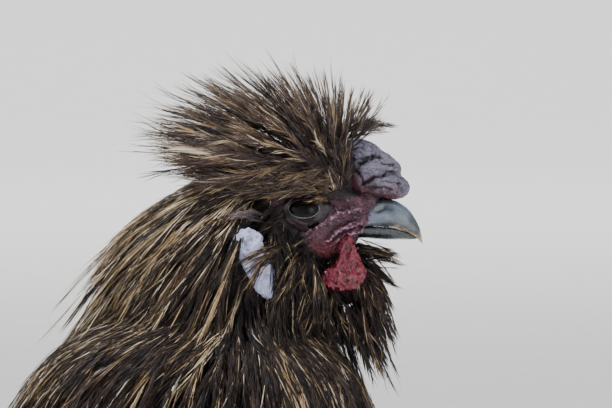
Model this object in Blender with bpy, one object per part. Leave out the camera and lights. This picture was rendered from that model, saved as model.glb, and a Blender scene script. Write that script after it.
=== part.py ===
"""A silkie rooster at life size, standing still, as a museum model shows it.

Run it with: blender --background --python part.py
The bird faces +X with its left side at +Y, and stands on the plane z = 0. The origin lies on that
plane, under the middle of the bird. Sizes and places are in millimetres, and meshes are in metres.
Most parts are a smooth core with tapered locks or flat vanes of plumage set in it. The cores meet
face to face, and the plumage of a part stops short of every other part.
"""

import math
import random

import bmesh
import bpy
from mathutils import Matrix, Vector

MM = 0.001
GAP = 0.3  # between two parts that meet
SINK = 3.0  # how deep a root sits in its core
SHARP_ANGLE = 40.0  # the degrees past which an edge between two faces shows

# The head, whose sizes the rest of the bird follows.
EYE_X, EYE_Z = 82.0, 280.0
EYE_RADIUS, EYE_SPREAD = 7.5, 9.8
LID_ACROSS, LID_TALL, LID_THICK = 6.3, 5.0, 1.5
BEAK_BASE_X, BEAK_TIP_X, BEAK_TIP_Z = EYE_X + 21.0, EYE_X + 41.2, EYE_Z - 10.2
CULMEN_Z, GAPE_Z, JAW_Z = EYE_Z + 3.4, EYE_Z - 5.0, EYE_Z - 9.6
BEAK_HALF_WIDTH = 6.2

# The stance.
SHANK_X, STANCE, HOCK_Z = 14.0, 37.0, 66.0
SHANK_RADIUS, TOE_RADIUS, PAD_RADIUS = 5.6, 4.4, 10.5
CLAW_LENGTH = 9.0

# The plumage: the rows of locks and how many go round the widest row, then their length and width.
CREST_ROWS, CREST_LENGTH, CREST_WIDTH = (4, 10), 26.0, 11.5
STREAMERS, STREAMER_LENGTH, STREAMER_WIDTH = 4, 36.0, 3.0
BEARD_ROWS, BEARD_LENGTH, BEARD_WIDTH = (2, 7), 22.0, 11.0
MUFF_ROWS, MUFF_LENGTH, MUFF_WIDTH = (2, 8), 18.0, 9.5
HACKLE_ROWS, HACKLE_LENGTH, HACKLE_WIDTH = (3, 9), 42.0, 16.0
CAPE_ROWS, CAPE_LENGTH, CAPE_WIDTH = (3, 10), 56.0, 22.0
BODY_ROWS, BODY_LENGTH, BODY_WIDTH = (6, 11), 50.0, 28.0
THIGH_ROWS, THIGH_LENGTH, THIGH_WIDTH = (2, 7), 38.0, 20.0
RUMP_ROWS, RUMP_LENGTH, RUMP_WIDTH = (3, 7), 40.0, 17.0
TAIL_VANES, TAIL_LENGTH, TAIL_WIDTH = 6, 62.0, 13.0
COVERT_ROWS, COVERT_LENGTH, COVERT_WIDTH = (3, 6), 36.0, 19.0
FLIGHTS, FLIGHT_LENGTH, FLIGHT_WIDTH = 6, 60.0, 12.5
SHANK_LOCKS, SHANK_LENGTH, SHANK_WIDTH = 6, 28.0, 11.0
TOE_LOCKS, TOE_LOCK_LENGTH, TOE_LOCK_WIDTH = 2, 17.0, 8.0

# Each toe's heading from straight ahead towards the outside, its length and how high its tip is.
TOES = {
    "middle": (2, 50, 2.6),
    "inner": (-34, 38, 2.6),
    "outer": (38, 42, 2.6),
    "hind": (-164, 21, 2.6),
    "fifth": (-128, 25, 17.0),
}

COLOURS = {
    "skin": (0.16, 0.09, 0.12),
    "comb": (0.30, 0.24, 0.30),
    "beak": (0.22, 0.27, 0.33),
    "wattle": (0.42, 0.06, 0.12),
    "earlobe": (0.62, 0.66, 0.78),
    "eye": (0.012, 0.010, 0.010),
    "plumage": (0.06, 0.05, 0.045),
    "hackle": (0.20, 0.16, 0.12),
    "leg": (0.10, 0.11, 0.13),
    "claw": (0.25, 0.24, 0.22),
}
SHINE = {"beak": 0.3, "eye": 0.05, "claw": 0.4}


def material(slot):
    """The slot's Principled material, made once."""
    found = bpy.data.materials.get(slot)
    if found:
        return found
    made = bpy.data.materials.new(slot)
    made.use_nodes = True
    shader = made.node_tree.nodes["Principled BSDF"]
    shader.inputs["Base Color"].default_value = (*COLOURS[slot], 1.0)
    shader.inputs["Roughness"].default_value = SHINE.get(slot, 0.65)
    return made


def object_from(bm, name):
    bmesh.ops.recalc_face_normals(bm, faces=bm.faces)
    mesh = bpy.data.meshes.new(name)
    bm.to_mesh(mesh)
    bm.free()
    made = bpy.data.objects.new(name, mesh)
    bpy.context.scene.collection.objects.link(made)
    return made


def skin_over(bm, rings, closed=False):
    """Joins rings of points into a tube, with every pair split alike, and closes its ends."""
    loops = [[bm.verts.new(Vector(p) * MM) for p in ring] for ring in rings]
    for near, far in zip(loops, loops[1:] + loops[:1] if closed else loops[1:]):
        for k in range(len(near)):
            n = (k + 1) % len(near)
            if len(far) == 1:
                bm.faces.new((near[k], near[n], far[0]))
                continue
            bm.faces.new((near[k], near[n], far[n]))
            bm.faces.new((near[k], far[n], far[k]))
    if not closed:
        bm.faces.new(loops[0])
        if len(loops[-1]) > 2:
            bm.faces.new(loops[-1])


class Shape:
    """A closed form. Its mesh can be made larger all round, to cut what must stay clear of it."""

    def box(self):
        if not hasattr(self, "corners"):
            made = self.mesh(GAP)
            points = [v.co / MM for v in made.data.vertices]
            self.corners = [[side(p[i] for p in points) for i in range(3)] for side in (min, max)]
            remove(made)
        return self.corners

    def near(self, other):
        (low, high), (other_low, other_high) = self.box(), other.box()
        return all(low[i] <= other_high[i] and other_low[i] <= high[i] for i in range(3))


class Egg(Shape):
    """A smooth form of five radii round a centre, the same to each side. A positive pitch lifts its
    front, and a positive roll leans its top towards -Y."""

    def __init__(self, centre, front, back, side, up, down, pitch=0.0, segments=16, rings=9,
                 folds=0, fold_depth=0.0, roll=0.0):
        self.centre = Vector(centre)
        self.radii = ((front, back), (side, side), (up, down))
        nod = Matrix.Rotation(math.radians(-pitch), 3, "Y")
        self.turn = Matrix.Rotation(math.radians(roll), 3, "X") @ nod
        self.segments, self.rings = segments, rings
        self.folds, self.fold_depth = folds, fold_depth

    def grown(self, extra):
        """The same egg with every radius longer."""
        (front, back), (side, _), (up, down) = self.radii
        made = Egg(self.centre, front + extra, back + extra, side + extra, up + extra, down + extra)
        made.turn = self.turn
        return made

    def scaled(self, point):
        local = self.turn.transposed() @ (Vector(point) - self.centre)
        return Vector([c / self.radii[i][c < 0] for i, c in enumerate(local)])

    def level(self, point):
        """Under 1 inside the egg, 1 on its surface and more outside."""
        return self.scaled(point).length

    def pushed(self, point):
        """The point itself, or where it leaves the egg if it is inside."""
        level = self.level(point)
        return point if level >= 1.0 else self.centre + (point - self.centre) / max(level, 0.05)

    def normal(self, point):
        local = self.turn.transposed() @ (point - self.centre)
        slope = [c / self.radii[i][c < 0] ** 2 for i, c in enumerate(local)]
        return (self.turn @ Vector(slope)).normalized()

    def at(self, unit):
        """The surface point for a direction given on the unit sphere."""
        local = [c * self.radii[i][c < 0] for i, c in enumerate(unit)]
        return self.centre + self.turn @ Vector(local)

    def mesh(self, grow=0.0):
        bm = bmesh.new()
        bmesh.ops.create_uvsphere(bm, u_segments=self.segments, v_segments=self.rings, radius=1.0)
        for vert in bm.verts:
            unit = vert.co.copy()
            around = math.atan2(unit.z, unit.x)
            fold = 1.0 + self.fold_depth * math.cos(self.folds * around) * (1.0 - unit.y ** 2)
            local = [c * fold * (self.radii[i][c < 0] + grow) for i, c in enumerate(unit)]
            vert.co = (self.centre + self.turn @ Vector(local)) * MM
        return object_from(bm, "egg")


class Limb(Shape):
    """A round limb along points, each with its radius."""

    def __init__(self, points, radii, sides=8):
        self.points, self.radii, self.sides = [Vector(p) for p in points], radii, sides

    def mesh(self, grow=0.0):
        bm = bmesh.new()
        last = len(self.points) - 1
        rings = []
        for i, point in enumerate(self.points):
            along = (self.points[min(i + 1, last)] - self.points[max(i - 1, 0)]).normalized()
            side = along.cross(Vector((0.0, 0.13, 1.0))).normalized()
            above = side.cross(along)
            ends = along * grow * ((i == last) - (i == 0))
            turns = [2 * math.pi * k / self.sides for k in range(self.sides)]
            reach = self.radii[i] + grow
            spokes = [side * math.cos(a) + above * math.sin(a) for a in turns]
            rings.append([point + ends + spoke * reach for spoke in spokes])
        skin_over(bm, rings)
        return object_from(bm, "limb")


class Beak(Shape):
    """Half of a beak: sections from the base to the tip, each an arch from edge to ridge."""

    def __init__(self, edge, ridge, half_width, count=7, arch=6):
        self.edge, self.ridge, self.half_width = edge, ridge, half_width
        self.count, self.arch = count, arch

    def mesh(self, grow=0.0):
        bm = bmesh.new()
        rings = []
        for i in range(self.count):
            t = i / (self.count - 1)
            low, high = Vector(self.edge(t)), Vector(self.ridge(t))
            up = high - low
            wide = self.half_width(t) + grow
            away = up.normalized() * grow
            turns = [math.pi * k / self.arch for k in range(self.arch + 1)]
            rings.append([low + Vector((0.0, wide * math.cos(a), 0.0)) + up * math.sin(a)
                          + away * (2 * math.sin(a) - 1) for a in turns])
        skin_over(bm, rings)
        return object_from(bm, "beak")


class Block(Shape):
    """A box given by its lowest and highest corners."""

    def __init__(self, low, high):
        self.low, self.high = Vector(low), Vector(high)

    def mesh(self, grow=0.0):
        bm = bmesh.new()
        bmesh.ops.create_cube(bm, size=1.0)
        size = self.high - self.low + Vector((grow, grow, grow)) * 2
        for vert in bm.verts:
            vert.co = ((self.low + self.high) / 2 + Vector([a * b for a, b in zip(vert.co, size)])) * MM
        return object_from(bm, "block")


class Lid(Shape):
    """A ring of skin round the eye, set on the side of the head."""

    def __init__(self, centre, axis, across, tall, thick, around=12, section=4):
        self.centre, self.axis = Vector(centre), Vector(axis).normalized()
        self.across, self.tall, self.thick = across, tall, thick
        self.around, self.section = around, section

    def mesh(self, grow=0.0):
        bm = bmesh.new()
        ahead = Vector((0.0, 0.0, 1.0)).cross(self.axis).normalized()
        above = self.axis.cross(ahead)
        rings = []
        for k in range(self.around):
            a = 2 * math.pi * k / self.around
            out = ahead * self.across * math.cos(a) + above * self.tall * math.sin(a)
            turns = [2 * math.pi * j / self.section for j in range(self.section)]
            reach = self.thick + grow
            away = out.normalized()
            spokes = [away * math.cos(b) + self.axis * math.sin(b) for b in turns]
            rings.append([self.centre + out + spoke * reach for spoke in spokes])
        skin_over(bm, rings, closed=True)
        return object_from(bm, "lid")


class Lock(Shape):
    """A tapered lock of plumage along points, flat below and ridged above, or flat on both faces."""

    ROUND = ((-1.0, -0.3), (1.0, -0.3), (0.0, 0.7))
    FLAT = ((-1.0, -0.5), (1.0, -0.5), (1.0, 0.5), (-1.0, 0.5))

    def __init__(self, points, outs, width, thick, flat=False, twist=0.0):
        self.points, self.outs = points, outs
        self.width, self.thick, self.flat, self.twist = width, thick, flat, twist

    def mesh(self, grow=0.0):
        bm = bmesh.new()
        last = len(self.points) - 1
        spread = grow if self.flat else grow * 4.0
        rings = []
        for i, point in enumerate(self.points):
            t = i / last
            along = (self.points[min(i + 1, last)] - self.points[max(i - 1, 0)]).normalized()
            if i == 0:
                point = point - along * grow
            if i == last and not self.flat:
                rings.append([point + along * grow * 4.0])
                continue
            side = along.cross(self.outs[i]).normalized()
            above = side.cross(along)
            lean = self.twist * t
            side, above = (side * math.cos(lean) + above * math.sin(lean),
                           above * math.cos(lean) - side * math.sin(lean))
            narrowing = min(1.0, 0.55 + 1.6 * t) * max(1.0 - t ** 2.2, 0.06) ** 0.8
            wide = self.width / 2 * narrowing + spread
            high = self.thick * (1.0 - 0.55 * t) + grow * 2.0
            profile = self.FLAT if self.flat else self.ROUND
            rings.append([point + side * a * wide + above * b * high for a, b in profile])
        skin_over(bm, rings)
        return object_from(bm, "lock")


def remove(made):
    mesh = made.data
    bpy.data.objects.remove(made)
    bpy.data.meshes.remove(mesh)


def boolean(target, operation, others):
    """Applies one Boolean of a whole collection to the target, and removes the collection."""
    if not others:
        return
    group = bpy.data.collections.new("pieces")
    bpy.context.scene.collection.children.link(group)
    for other in others:
        bpy.context.scene.collection.objects.unlink(other)
        group.objects.link(other)
    modifier = target.modifiers.new("join", "BOOLEAN")
    modifier.operation, modifier.solver = operation, "MANIFOLD"
    modifier.operand_type, modifier.collection = "COLLECTION", group
    graph = bpy.context.evaluated_depsgraph_get()
    joined = bpy.data.meshes.new_from_object(target.evaluated_get(graph))
    target.modifiers.clear()
    target.data = joined
    for other in others:
        remove(other)
    bpy.data.collections.remove(group)


def joined(shapes, cutters):
    """One object of the shapes, with the larger copies of the cutters near them taken away."""
    first, *rest = [shape.mesh() for shape in shapes]
    boolean(first, "UNION", rest)
    close = [cutter for cutter in cutters if any(cutter.near(shape) for shape in shapes)]
    boolean(first, "DIFFERENCE", [cutter.mesh(GAP) for cutter in close])
    return first


def keep_largest(target):
    """Leaves only the closed surface of the most volume."""
    bm = bmesh.new()
    bm.from_mesh(target.data)
    left, bodies = set(bm.faces), []
    while left:
        stack, body = [left.pop()], []
        while stack:
            face = stack.pop()
            body.append(face)
            for edge in face.edges:
                fresh = [other for other in edge.link_faces if other in left]
                left.difference_update(fresh)
                stack.extend(fresh)
        bodies.append(body)

    def volume(body):
        total = 0.0
        for face in body:
            first = face.verts[0].co
            for a, b in zip(face.verts[1:], face.verts[2:]):
                total += first.dot(a.co.cross(b.co))
        return total

    bodies.sort(key=volume)
    scraps = [face for body in bodies[:-1] for face in body]
    bmesh.ops.delete(bm, geom=scraps, context="FACES")
    bm.to_mesh(target.data)
    bm.free()


def tiers(pole, rows, around, first, last):
    """Directions in rows round a pole, each row set between those of the row before."""
    turn = Vector((0.0, 0.0, 1.0)).rotation_difference(Vector(pole)).to_matrix()
    for row in range(rows):
        polar = math.radians(first + (last - first) * row / max(rows - 1, 1))
        count = max(3, round(around * math.sin(polar)))
        for k in range(count):
            a = 2.0 * math.pi * (k + 0.5 * (row % 2)) / count
            level = Vector((math.cos(a), math.sin(a), 0.0)) * math.sin(polar)
            yield turn @ (level + Vector((0.0, 0.0, math.cos(polar))))


def laid(core, root, lie, length, lift, hang=0.0, clear=(), most_bent=7.0, steps=3):
    """Points along the lie from a sunk root, with the way out of the coat at each. A hang near 1
    lets the lock leave the core's form and follow the lie straight. The lock is bent clear of other
    eggs, and ends where that would move it too far."""
    out = core.normal(root)
    along = lie(root, out)
    along = (along - out * along.dot(out)).normalized()
    points, outs = [root - out * SINK - along * SINK * 0.5], [out]
    point = root + out * 0.5
    for k in range(1, steps + 1):
        out = core.normal(point)
        way = lie(point, out)
        way = (way - out * way.dot(out) * (1.0 - hang)).normalized()
        level = core.level(point)
        point = point + way * length / steps
        held = core.centre + (point - core.centre) * level / core.level(point)
        point = held.lerp(point, hang) + out * lift * length / steps
        freed = point
        for body in clear:
            freed = body.pushed(freed)
        if k > 1 and (freed - point).length > most_bent:
            break
        point = freed
        points.append(point)
        outs.append(out)
    return points, outs


def coat(core, pole, rows, span, lie, length, width, lift, seed, hang=0.0, thick=2.4, skip=(), clear=(),
         most_bent=7.0):
    """Rows of locks over a core, but for what the skip eggs cover, bent clear of other eggs."""
    draw = random.Random(seed)
    locks = []
    for unit in tiers(pole, *rows, *span):
        shift = Vector([draw.uniform(-0.04, 0.04) for _ in range(3)])
        longer, wider, leaner = draw.uniform(0.85, 1.15), draw.uniform(0.9, 1.1), draw.uniform(-0.2, 0.2)
        raised, sway = draw.uniform(0.85, 1.15), draw.uniform(-0.08, 0.08)
        root = core.at((unit + shift).normalized())
        if any(other.level(root) < 1.0 for other in skip):
            continue

        def swayed(point, out):
            way = lie(point, out)
            return way + out.cross(way) * sway

        points, outs = laid(core, root, swayed, length * longer, lift * raised, hang, clear, most_bent)
        locks.append(Lock(points, outs, width * wider, thick, twist=leaner))
    return locks


# The cores, which reach about half way from the skin to the tips of the plumage.
HEAD = Egg((77, 0, 277), 30, 22, 15.5, 19, 17, -8, 14, 9)
CREST = Egg((80, 0, 294), 25, 27, 20, 19, 13, -6, 14, 8)
BEARD = Egg((95, 0, 254), 13, 15, 11, 11, 12, 0, 10, 7)
UPPER_NECK = Egg((55, 0, 250), 32, 36, 25, 42, 44, -12, 12, 8)
LOWER_NECK = Egg((46, 0, 202), 60, 60, 44, 48, 34, -3, 14, 8)
TORSO = Egg((4, 0, 138), 98, 86, 66, 60, 62, 6, 18, 10)
TAIL = Egg((-70, 0, 186), 24, 21, 22, 27, 23, 30, 12, 7)
FLOOR = Block((-300, -300, -60), (300, 300, -GAP))
MUZZLE = Block((BEAK_BASE_X + GAP, -40, 240), (170, 40, 300))


def eye(side):
    return Egg((EYE_X, side * EYE_SPREAD, EYE_Z), *[EYE_RADIUS] * 5, 0, 10, 7)


def muff(side):
    return Egg((79, side * 11, 258), 12, 11, 9, 11, 14, 0, 10, 7)


def wing(side):
    return Egg((9, side * 64.5, 145), 40, 42, 8.5, 27, 25, 8, 12, 7, roll=side * 17)


def thigh(side):
    return Egg((12, side * 38, 80), 24, 26, 19, 34, 30, 0, 10, 6)


def wattle(side):
    return Egg((95.8, side * 11.2, 261.6), 7.2, 7.0, 2.4, 10.4, 9.0, -8, 16, 6, 8, 0.07)


def earlobe(side):
    return Egg((64.6, side * 19.6, 262.6), 5.6, 5.2, 5.2, 11.6, 11.6, 20, 10, 8, 5, 0.05)


def comb():
    """A walnut of bulbs over a base: a row along the middle and two rows down each side."""
    base = Egg((106.5, 0, 291.5), 11.5, 10, 9, 9.5, 8.5, -34, 10, 6)
    middle = ((98.5, 298, 5.6), (105.6, 300.2, 5.4), (112.6, 296.0, 5.2), (114.8, 288.6, 4.6))
    beside = ((98.6, 292.6, 5.6), (106.0, 295.4, 5.4), (109.4, 288.8, 5.2))
    bulbs = [Egg((x, 0, z), r, r, r + 0.8, r, r, 0, 8, 5) for x, z, r in middle]
    for side in (-1, 1):
        bulbs += [Egg((x, side * (5.2 + r * 0.25), z), r, r, r, r, r, 0, 8, 5) for x, z, r in beside]
    return [base, *bulbs]


def upper_edge(t):
    x = BEAK_BASE_X + GAP + (BEAK_TIP_X - 1.0 - BEAK_BASE_X) * t
    return x, 0.0, GAPE_Z - 4.6 * max(0.0, t - 0.25) ** 2


def upper_ridge(t):
    a = math.pi / 2 * max(0.0, (t - 0.4) / 0.6)
    straight = min(1.0, t / 0.4)
    x = BEAK_BASE_X + GAP + 9.2 * straight + (BEAK_TIP_X - BEAK_BASE_X - 9.5) * math.sin(a)
    return x, 0.0, BEAK_TIP_Z + (CULMEN_Z - BEAK_TIP_Z) * math.cos(a)


def lower_edge(t):
    x = BEAK_BASE_X + GAP + (BEAK_TIP_X - 3.0 - BEAK_BASE_X) * t
    return x, 0.0, GAPE_Z - GAP - 0.2 - 3.4 * max(0.0, t - 0.25) ** 2


def lower_ridge(t):
    x = BEAK_BASE_X + GAP + (BEAK_TIP_X - 3.0 - BEAK_BASE_X) * t
    return x, 0.0, JAW_Z + 0.6 * t ** 3


def taper(wide, narrow):
    return lambda t: narrow + (wide - narrow) * (1 - t ** 1.6)


UPPER_BEAK = Beak(upper_edge, upper_ridge, taper(BEAK_HALF_WIDTH, 0.5), 8, 6)
LOWER_BEAK = Beak(lower_edge, lower_ridge, taper(BEAK_HALF_WIDTH - 0.7, 0.7), 6, 4)


def nostril(side):
    return Egg((108.6, side * 5.2, 280.2), 1.9, 1.9, 1.5, 0.8, 0.8, -20, 8, 6)


def lips(side):
    """Two folds of skin that run back from the beak along the line of the mouth."""
    folds = []
    for rise in (1.2, -1.3):
        line = ((103, 6.4, GAPE_Z), (97, 10.3, GAPE_Z - 2.6), (90, 12.4, GAPE_Z - 6.0))
        points = [(x, side * y, z + rise) for x, y, z in line]
        folds.append(Limb(points, (1.3, 1.5, 0.8), 4))
    return folds


def brow(side):
    """The fold of bare skin over the front of the eye."""
    points = ((89, side * 13.4, 285.5), (94.5, side * 11.6, 284.5), (100, side * 8.6, 282.5))
    return Limb(points, (1.6, 1.9, 1.2), 4)


def lid(side):
    centre, axis = (EYE_X, side * (EYE_SPREAD + 5.1), EYE_Z), (0.12, side, 0.05)
    return Lid(centre, axis, LID_ACROSS, LID_TALL, LID_THICK, 10)


def shank(side):
    top, ankle = Vector((SHANK_X - 5, side * STANCE, HOCK_Z)), Vector((SHANK_X, side * STANCE, 9.0))
    points = (top, (top + ankle) / 2, ankle, ankle - Vector((0, 0, 5.0)))
    return Limb(points, (7, SHANK_RADIUS, 6.4, 5.0), 8)


def foot_pad(side):
    return Egg((SHANK_X, side * STANCE, 6.0), PAD_RADIUS, PAD_RADIUS, PAD_RADIUS, 6.5, 8.0, 0, 10, 6)


def toe_line(side, heading, length, tip_z, reach):
    turn = math.radians(heading)
    out = Vector((math.cos(turn), side * math.sin(turn), 0.0))
    start = Vector((SHANK_X, side * STANCE, 5.0)) + out * 7.0
    rise = Vector((0, 0, (tip_z - 5.0) * (reach / length) ** 1.5))
    return start + out * reach + rise


def toe(side, heading, length, tip_z):
    """A toe of pads and narrower joints."""
    swells = (1.08, 0.9, 0.98, 0.8, 0.54)
    points = [toe_line(side, heading, length, tip_z, length * i / 4) for i in range(5)]
    return Limb(points, [TOE_RADIUS * swell for swell in swells], 6)


def claw(side, heading, length, tip_z):
    root = toe_line(side, heading, length, tip_z, length * 0.93)
    end = toe_line(side, heading, length, tip_z, length + CLAW_LENGTH)
    root.z, end.z = tip_z + 0.9, tip_z - 1.2
    points = [root.lerp(end, t) + Vector((0, 0, 1.6 * math.sin(math.pi * t))) for t in (0, 0.5, 1)]
    return Limb(points, (2.0, 1.5, 0.45), 4)


def crest_locks():
    def lie(point, out):
        return (point - Vector((88, 0, 270))).normalized() + Vector((-0.36, 0, 0.0))

    skip = [HEAD.grown(1.5), UPPER_NECK.grown(1.0), *[piece.grown(1.0) for piece in comb()[:1]]]
    clear = [piece.grown(2.0) for piece in comb()] + [eye(side).grown(3.0) for side in (-1, 1)]
    locks = coat(CREST, (1, 0, 0.1), CREST_ROWS, (36, 140), lie, CREST_LENGTH, CREST_WIDTH, 0.12, 14,
                 0.6, 2.2, skip, clear)
    draw = random.Random(12)
    for k in range(STREAMERS):
        unit = Vector((-0.85, draw.uniform(-0.55, 0.55), draw.uniform(0.15, 0.75)))
        way = Vector((-1.0, draw.uniform(-0.3, 0.3), draw.uniform(0.15, 0.75)))
        length = STREAMER_LENGTH * draw.uniform(0.8, 1.2)
        points, outs = laid(CREST, CREST.at(unit.normalized()), lambda p, o: way, length, 0.0, 1.0)
        locks.append(Lock(points, outs, STREAMER_WIDTH, 1.3))
    return locks


def beard_locks():
    def lie(point, out):
        return Vector((0.35, point.y / 40.0, -1.0))

    skip = [HEAD.grown(0.5)] + [wattle(side).grown(2.5) for side in (-1, 1)]
    clear = [wattle(side).grown(1.8) for side in (-1, 1)] + [UPPER_NECK.grown(1.5)]
    return coat(BEARD, (0, 0, 1), BEARD_ROWS, (60, 135), lie, BEARD_LENGTH, BEARD_WIDTH, 0.2, 21, 0.4,
                2.8, skip, clear)


def muff_locks(side):
    def lie(point, out):
        return Vector((-0.25, side * 0.35, -1.0))

    lobe, drop = earlobe(side), wattle(side)
    skip = [HEAD.grown(0.5), lobe.grown(1.0), drop.grown(2.0), BEARD.grown(0.5), UPPER_NECK]
    clear = [lobe.grown(1.5), drop.grown(1.8), UPPER_NECK.grown(1.5)]
    return coat(muff(side), (0, 0, 1), MUFF_ROWS, (50, 130), lie, MUFF_LENGTH, MUFF_WIDTH, 0.3, 31, 0.3,
                2.0, skip, clear)


def neck_locks():
    def lie(point, out):
        return Vector((-0.5 + 0.5 * out.x, 0.0, -0.8))

    upper_skip = [HEAD.grown(1.0), CREST, LOWER_NECK, BEARD.grown(4.0)]
    for side in (-1, 1):
        upper_skip += [earlobe(side).grown(2.0), muff(side).grown(3.0), wattle(side).grown(3.0)]
    hackle = coat(UPPER_NECK, (0, 0, 1), HACKLE_ROWS, (40, 105), lie, HACKLE_LENGTH, HACKLE_WIDTH, 0.2,
                  41, 0.25, 3.4, upper_skip, [LOWER_NECK.grown(1.0)])
    clear = [TORSO.grown(1.4), *[wing(side).grown(2.5) for side in (-1, 1)]]
    cape = coat(LOWER_NECK, (0, 0, 1), CAPE_ROWS, (45, 95), lie, CAPE_LENGTH, CAPE_WIDTH, 0.1, 44, 0.45,
                3.6, [UPPER_NECK.grown(2.0), TORSO.grown(1.0)], clear, 24.0)
    return hackle + cape


def torso_locks():
    def lie(point, out):
        return Vector((-1.0, 0.0, -0.5 + 1.4 * min(out.x, 0.0)))

    skip = [LOWER_NECK.grown(12.0), TAIL.grown(2.0)]
    clear = [TAIL.grown(3.0)]
    for side in (-1, 1):
        skip += [wing(side).grown(9.0), thigh(side).grown(2.0)]
        clear += [wing(side).grown(3.0), thigh(side).grown(3.0)]
    return coat(TORSO, (1, 0, 0.3), BODY_ROWS, (32, 146), lie, BODY_LENGTH, BODY_WIDTH, 0.15, 53, 0.05,
                4.0, skip, clear)


def tail_locks():
    def lie(point, out):
        return Vector((-0.8, point.y / 50.0, 0.75 if out.z > -0.3 else 0.2))

    skip = [TORSO.grown(1.0)]
    locks = coat(TAIL, (1, 0, 0.2), RUMP_ROWS, (55, 150), lie, RUMP_LENGTH, RUMP_WIDTH, 0.2, 61, 0.5, 2.6,
                 skip, [TORSO.grown(6.0)])
    draw = random.Random(62)
    for tier in (0, 1):
        count = TAIL_VANES - 2 * tier
        for k in range(count):
            fan = 2.0 * k / (count - 1) - 1.0
            rise = math.radians(66.0 - 26.0 * abs(fan) - 20.0 * tier)
            turn = math.radians(42.0 * fan)
            way = Vector((-math.cos(rise) * math.cos(turn), math.cos(rise) * math.sin(turn), math.sin(rise)))
            root = TAIL.centre + Vector((-6.0, 12.0 * fan, 4.0 - 8.0 * tier))
            length = TAIL_LENGTH * draw.uniform(0.88, 1.08) * (1.0 - 0.12 * tier)
            points = [root + way * length * t - Vector((0.25, 0, 1.0)) * 16.0 * t ** 2.4
                      for t in (0.0, 0.4, 0.75, 1.0)]
            out = Vector((0.35, fan, 1.0)).normalized()
            locks.append(Lock(points, [out] * 4, TAIL_WIDTH, 1.2, flat=True, twist=0.5 * fan))
    return locks


def wing_vanes(side):
    """Rows of coverts over the wing, and the flight feathers that leave its hind edge in a fan."""
    core = wing(side)
    ahead, out, up = core.turn.transposed()
    out = out * side

    def lie(point, away):
        return -ahead - up * 0.28

    torso = TORSO.grown(4.0)
    vanes = coat(core, ahead, COVERT_ROWS, (30, 92), lie, COVERT_LENGTH, COVERT_WIDTH, 0.12, 71, 0.0, 1.8,
                 [TORSO.grown(2.0)], [torso])
    draw = random.Random(72)
    for k in range(FLIGHTS):
        along = k / (FLIGHTS - 1)
        root = core.centre - ahead * (24.0 + 8.0 * along) - out * 1.5 + up * (-21.0 + 34.0 * along)
        way = (-ahead - out * 0.3 + up * (-0.48 + 0.40 * along + draw.uniform(-0.05, 0.05))).normalized()
        length = FLIGHT_LENGTH * draw.uniform(0.9, 1.1) * (1.0 - 0.2 * along)
        sag = draw.uniform(3.0, 7.0)
        points = [root + way * length * t - up * sag * t * t for t in (0.0, 0.4, 0.75, 1.0)]
        points = [torso.pushed(point) for point in points]
        vanes.append(Lock(points, [(out + up * 0.3).normalized()] * 4, FLIGHT_WIDTH, 1.1, True))
    return vanes


def thigh_locks(side):
    def lie(point, out):
        return Vector((-0.3, 0.0, -1.0))

    return coat(thigh(side), (0, 0, 1), THIGH_ROWS, (82, 122), lie, THIGH_LENGTH, THIGH_WIDTH, 0.12, 81,
                0.6, 2.6, [TORSO.grown(4.0)])


def shank_locks(side):
    """Feathers down the outer side of the shank, which spread outwards over the foot."""
    draw = random.Random(91)
    locks = []
    for k in range(SHANK_LOCKS):
        t = (k + 0.5) / SHANK_LOCKS
        turn = math.radians(draw.uniform(50, 140))
        out = Vector((math.cos(turn), side * math.sin(turn), 0.0))
        root = Vector((SHANK_X - 3.0 * (1 - t), side * STANCE, 42.0 - 33.0 * t))
        way = (out + Vector((-0.2, 0, -0.55 + 0.2 * t))).normalized()
        length = SHANK_LENGTH * draw.uniform(0.8, 1.2)
        points = [root + way * length * s + Vector((0, 0, -5.0 * s * s)) for s in (0.1, 0.4, 0.75, 1.0)]
        points = [Vector((p.x, p.y, max(p.z, 2.4))) for p in points]
        above = (Vector((0, 0, 1.0)) + out * 0.6).normalized()
        locks.append(Lock(points, [above] * 4, SHANK_WIDTH, 1.8))
    return locks


def toe_locks(side, name):
    """Feathers on the outer side of the middle and outer toes."""
    if name not in ("outer", "middle"):
        return []
    heading, length, tip_z = TOES[name]
    draw = random.Random(101)
    locks = []
    for k in range(TOE_LOCKS):
        root = toe_line(side, heading, length, tip_z, length * (0.28 + 0.2 * k))
        turn = math.radians(heading + draw.uniform(38, 60))
        way = Vector((math.cos(turn), side * math.sin(turn), 0.12))
        reach = TOE_LOCK_LENGTH * draw.uniform(0.85, 1.15)
        arch = Vector((0.0, 0.0, 2.0))
        points = [root + way * reach * s + arch * math.sin(math.pi * s) for s in (0.0, 0.4, 0.75, 1.0)]
        locks.append(Lock(points, [Vector((0, 0, 1))] * 4, TOE_LOCK_WIDTH, 1.5))
    return locks


class Part:
    """A node: its core, its plumage, and what its core and its plumage have taken away."""

    def __init__(self, name, slot, core, plumage=(), cut_by=()):
        self.name, self.slot = name, slot
        self.core, self.plumage, self.cut_by = list(core), list(plumage), list(cut_by)


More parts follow.
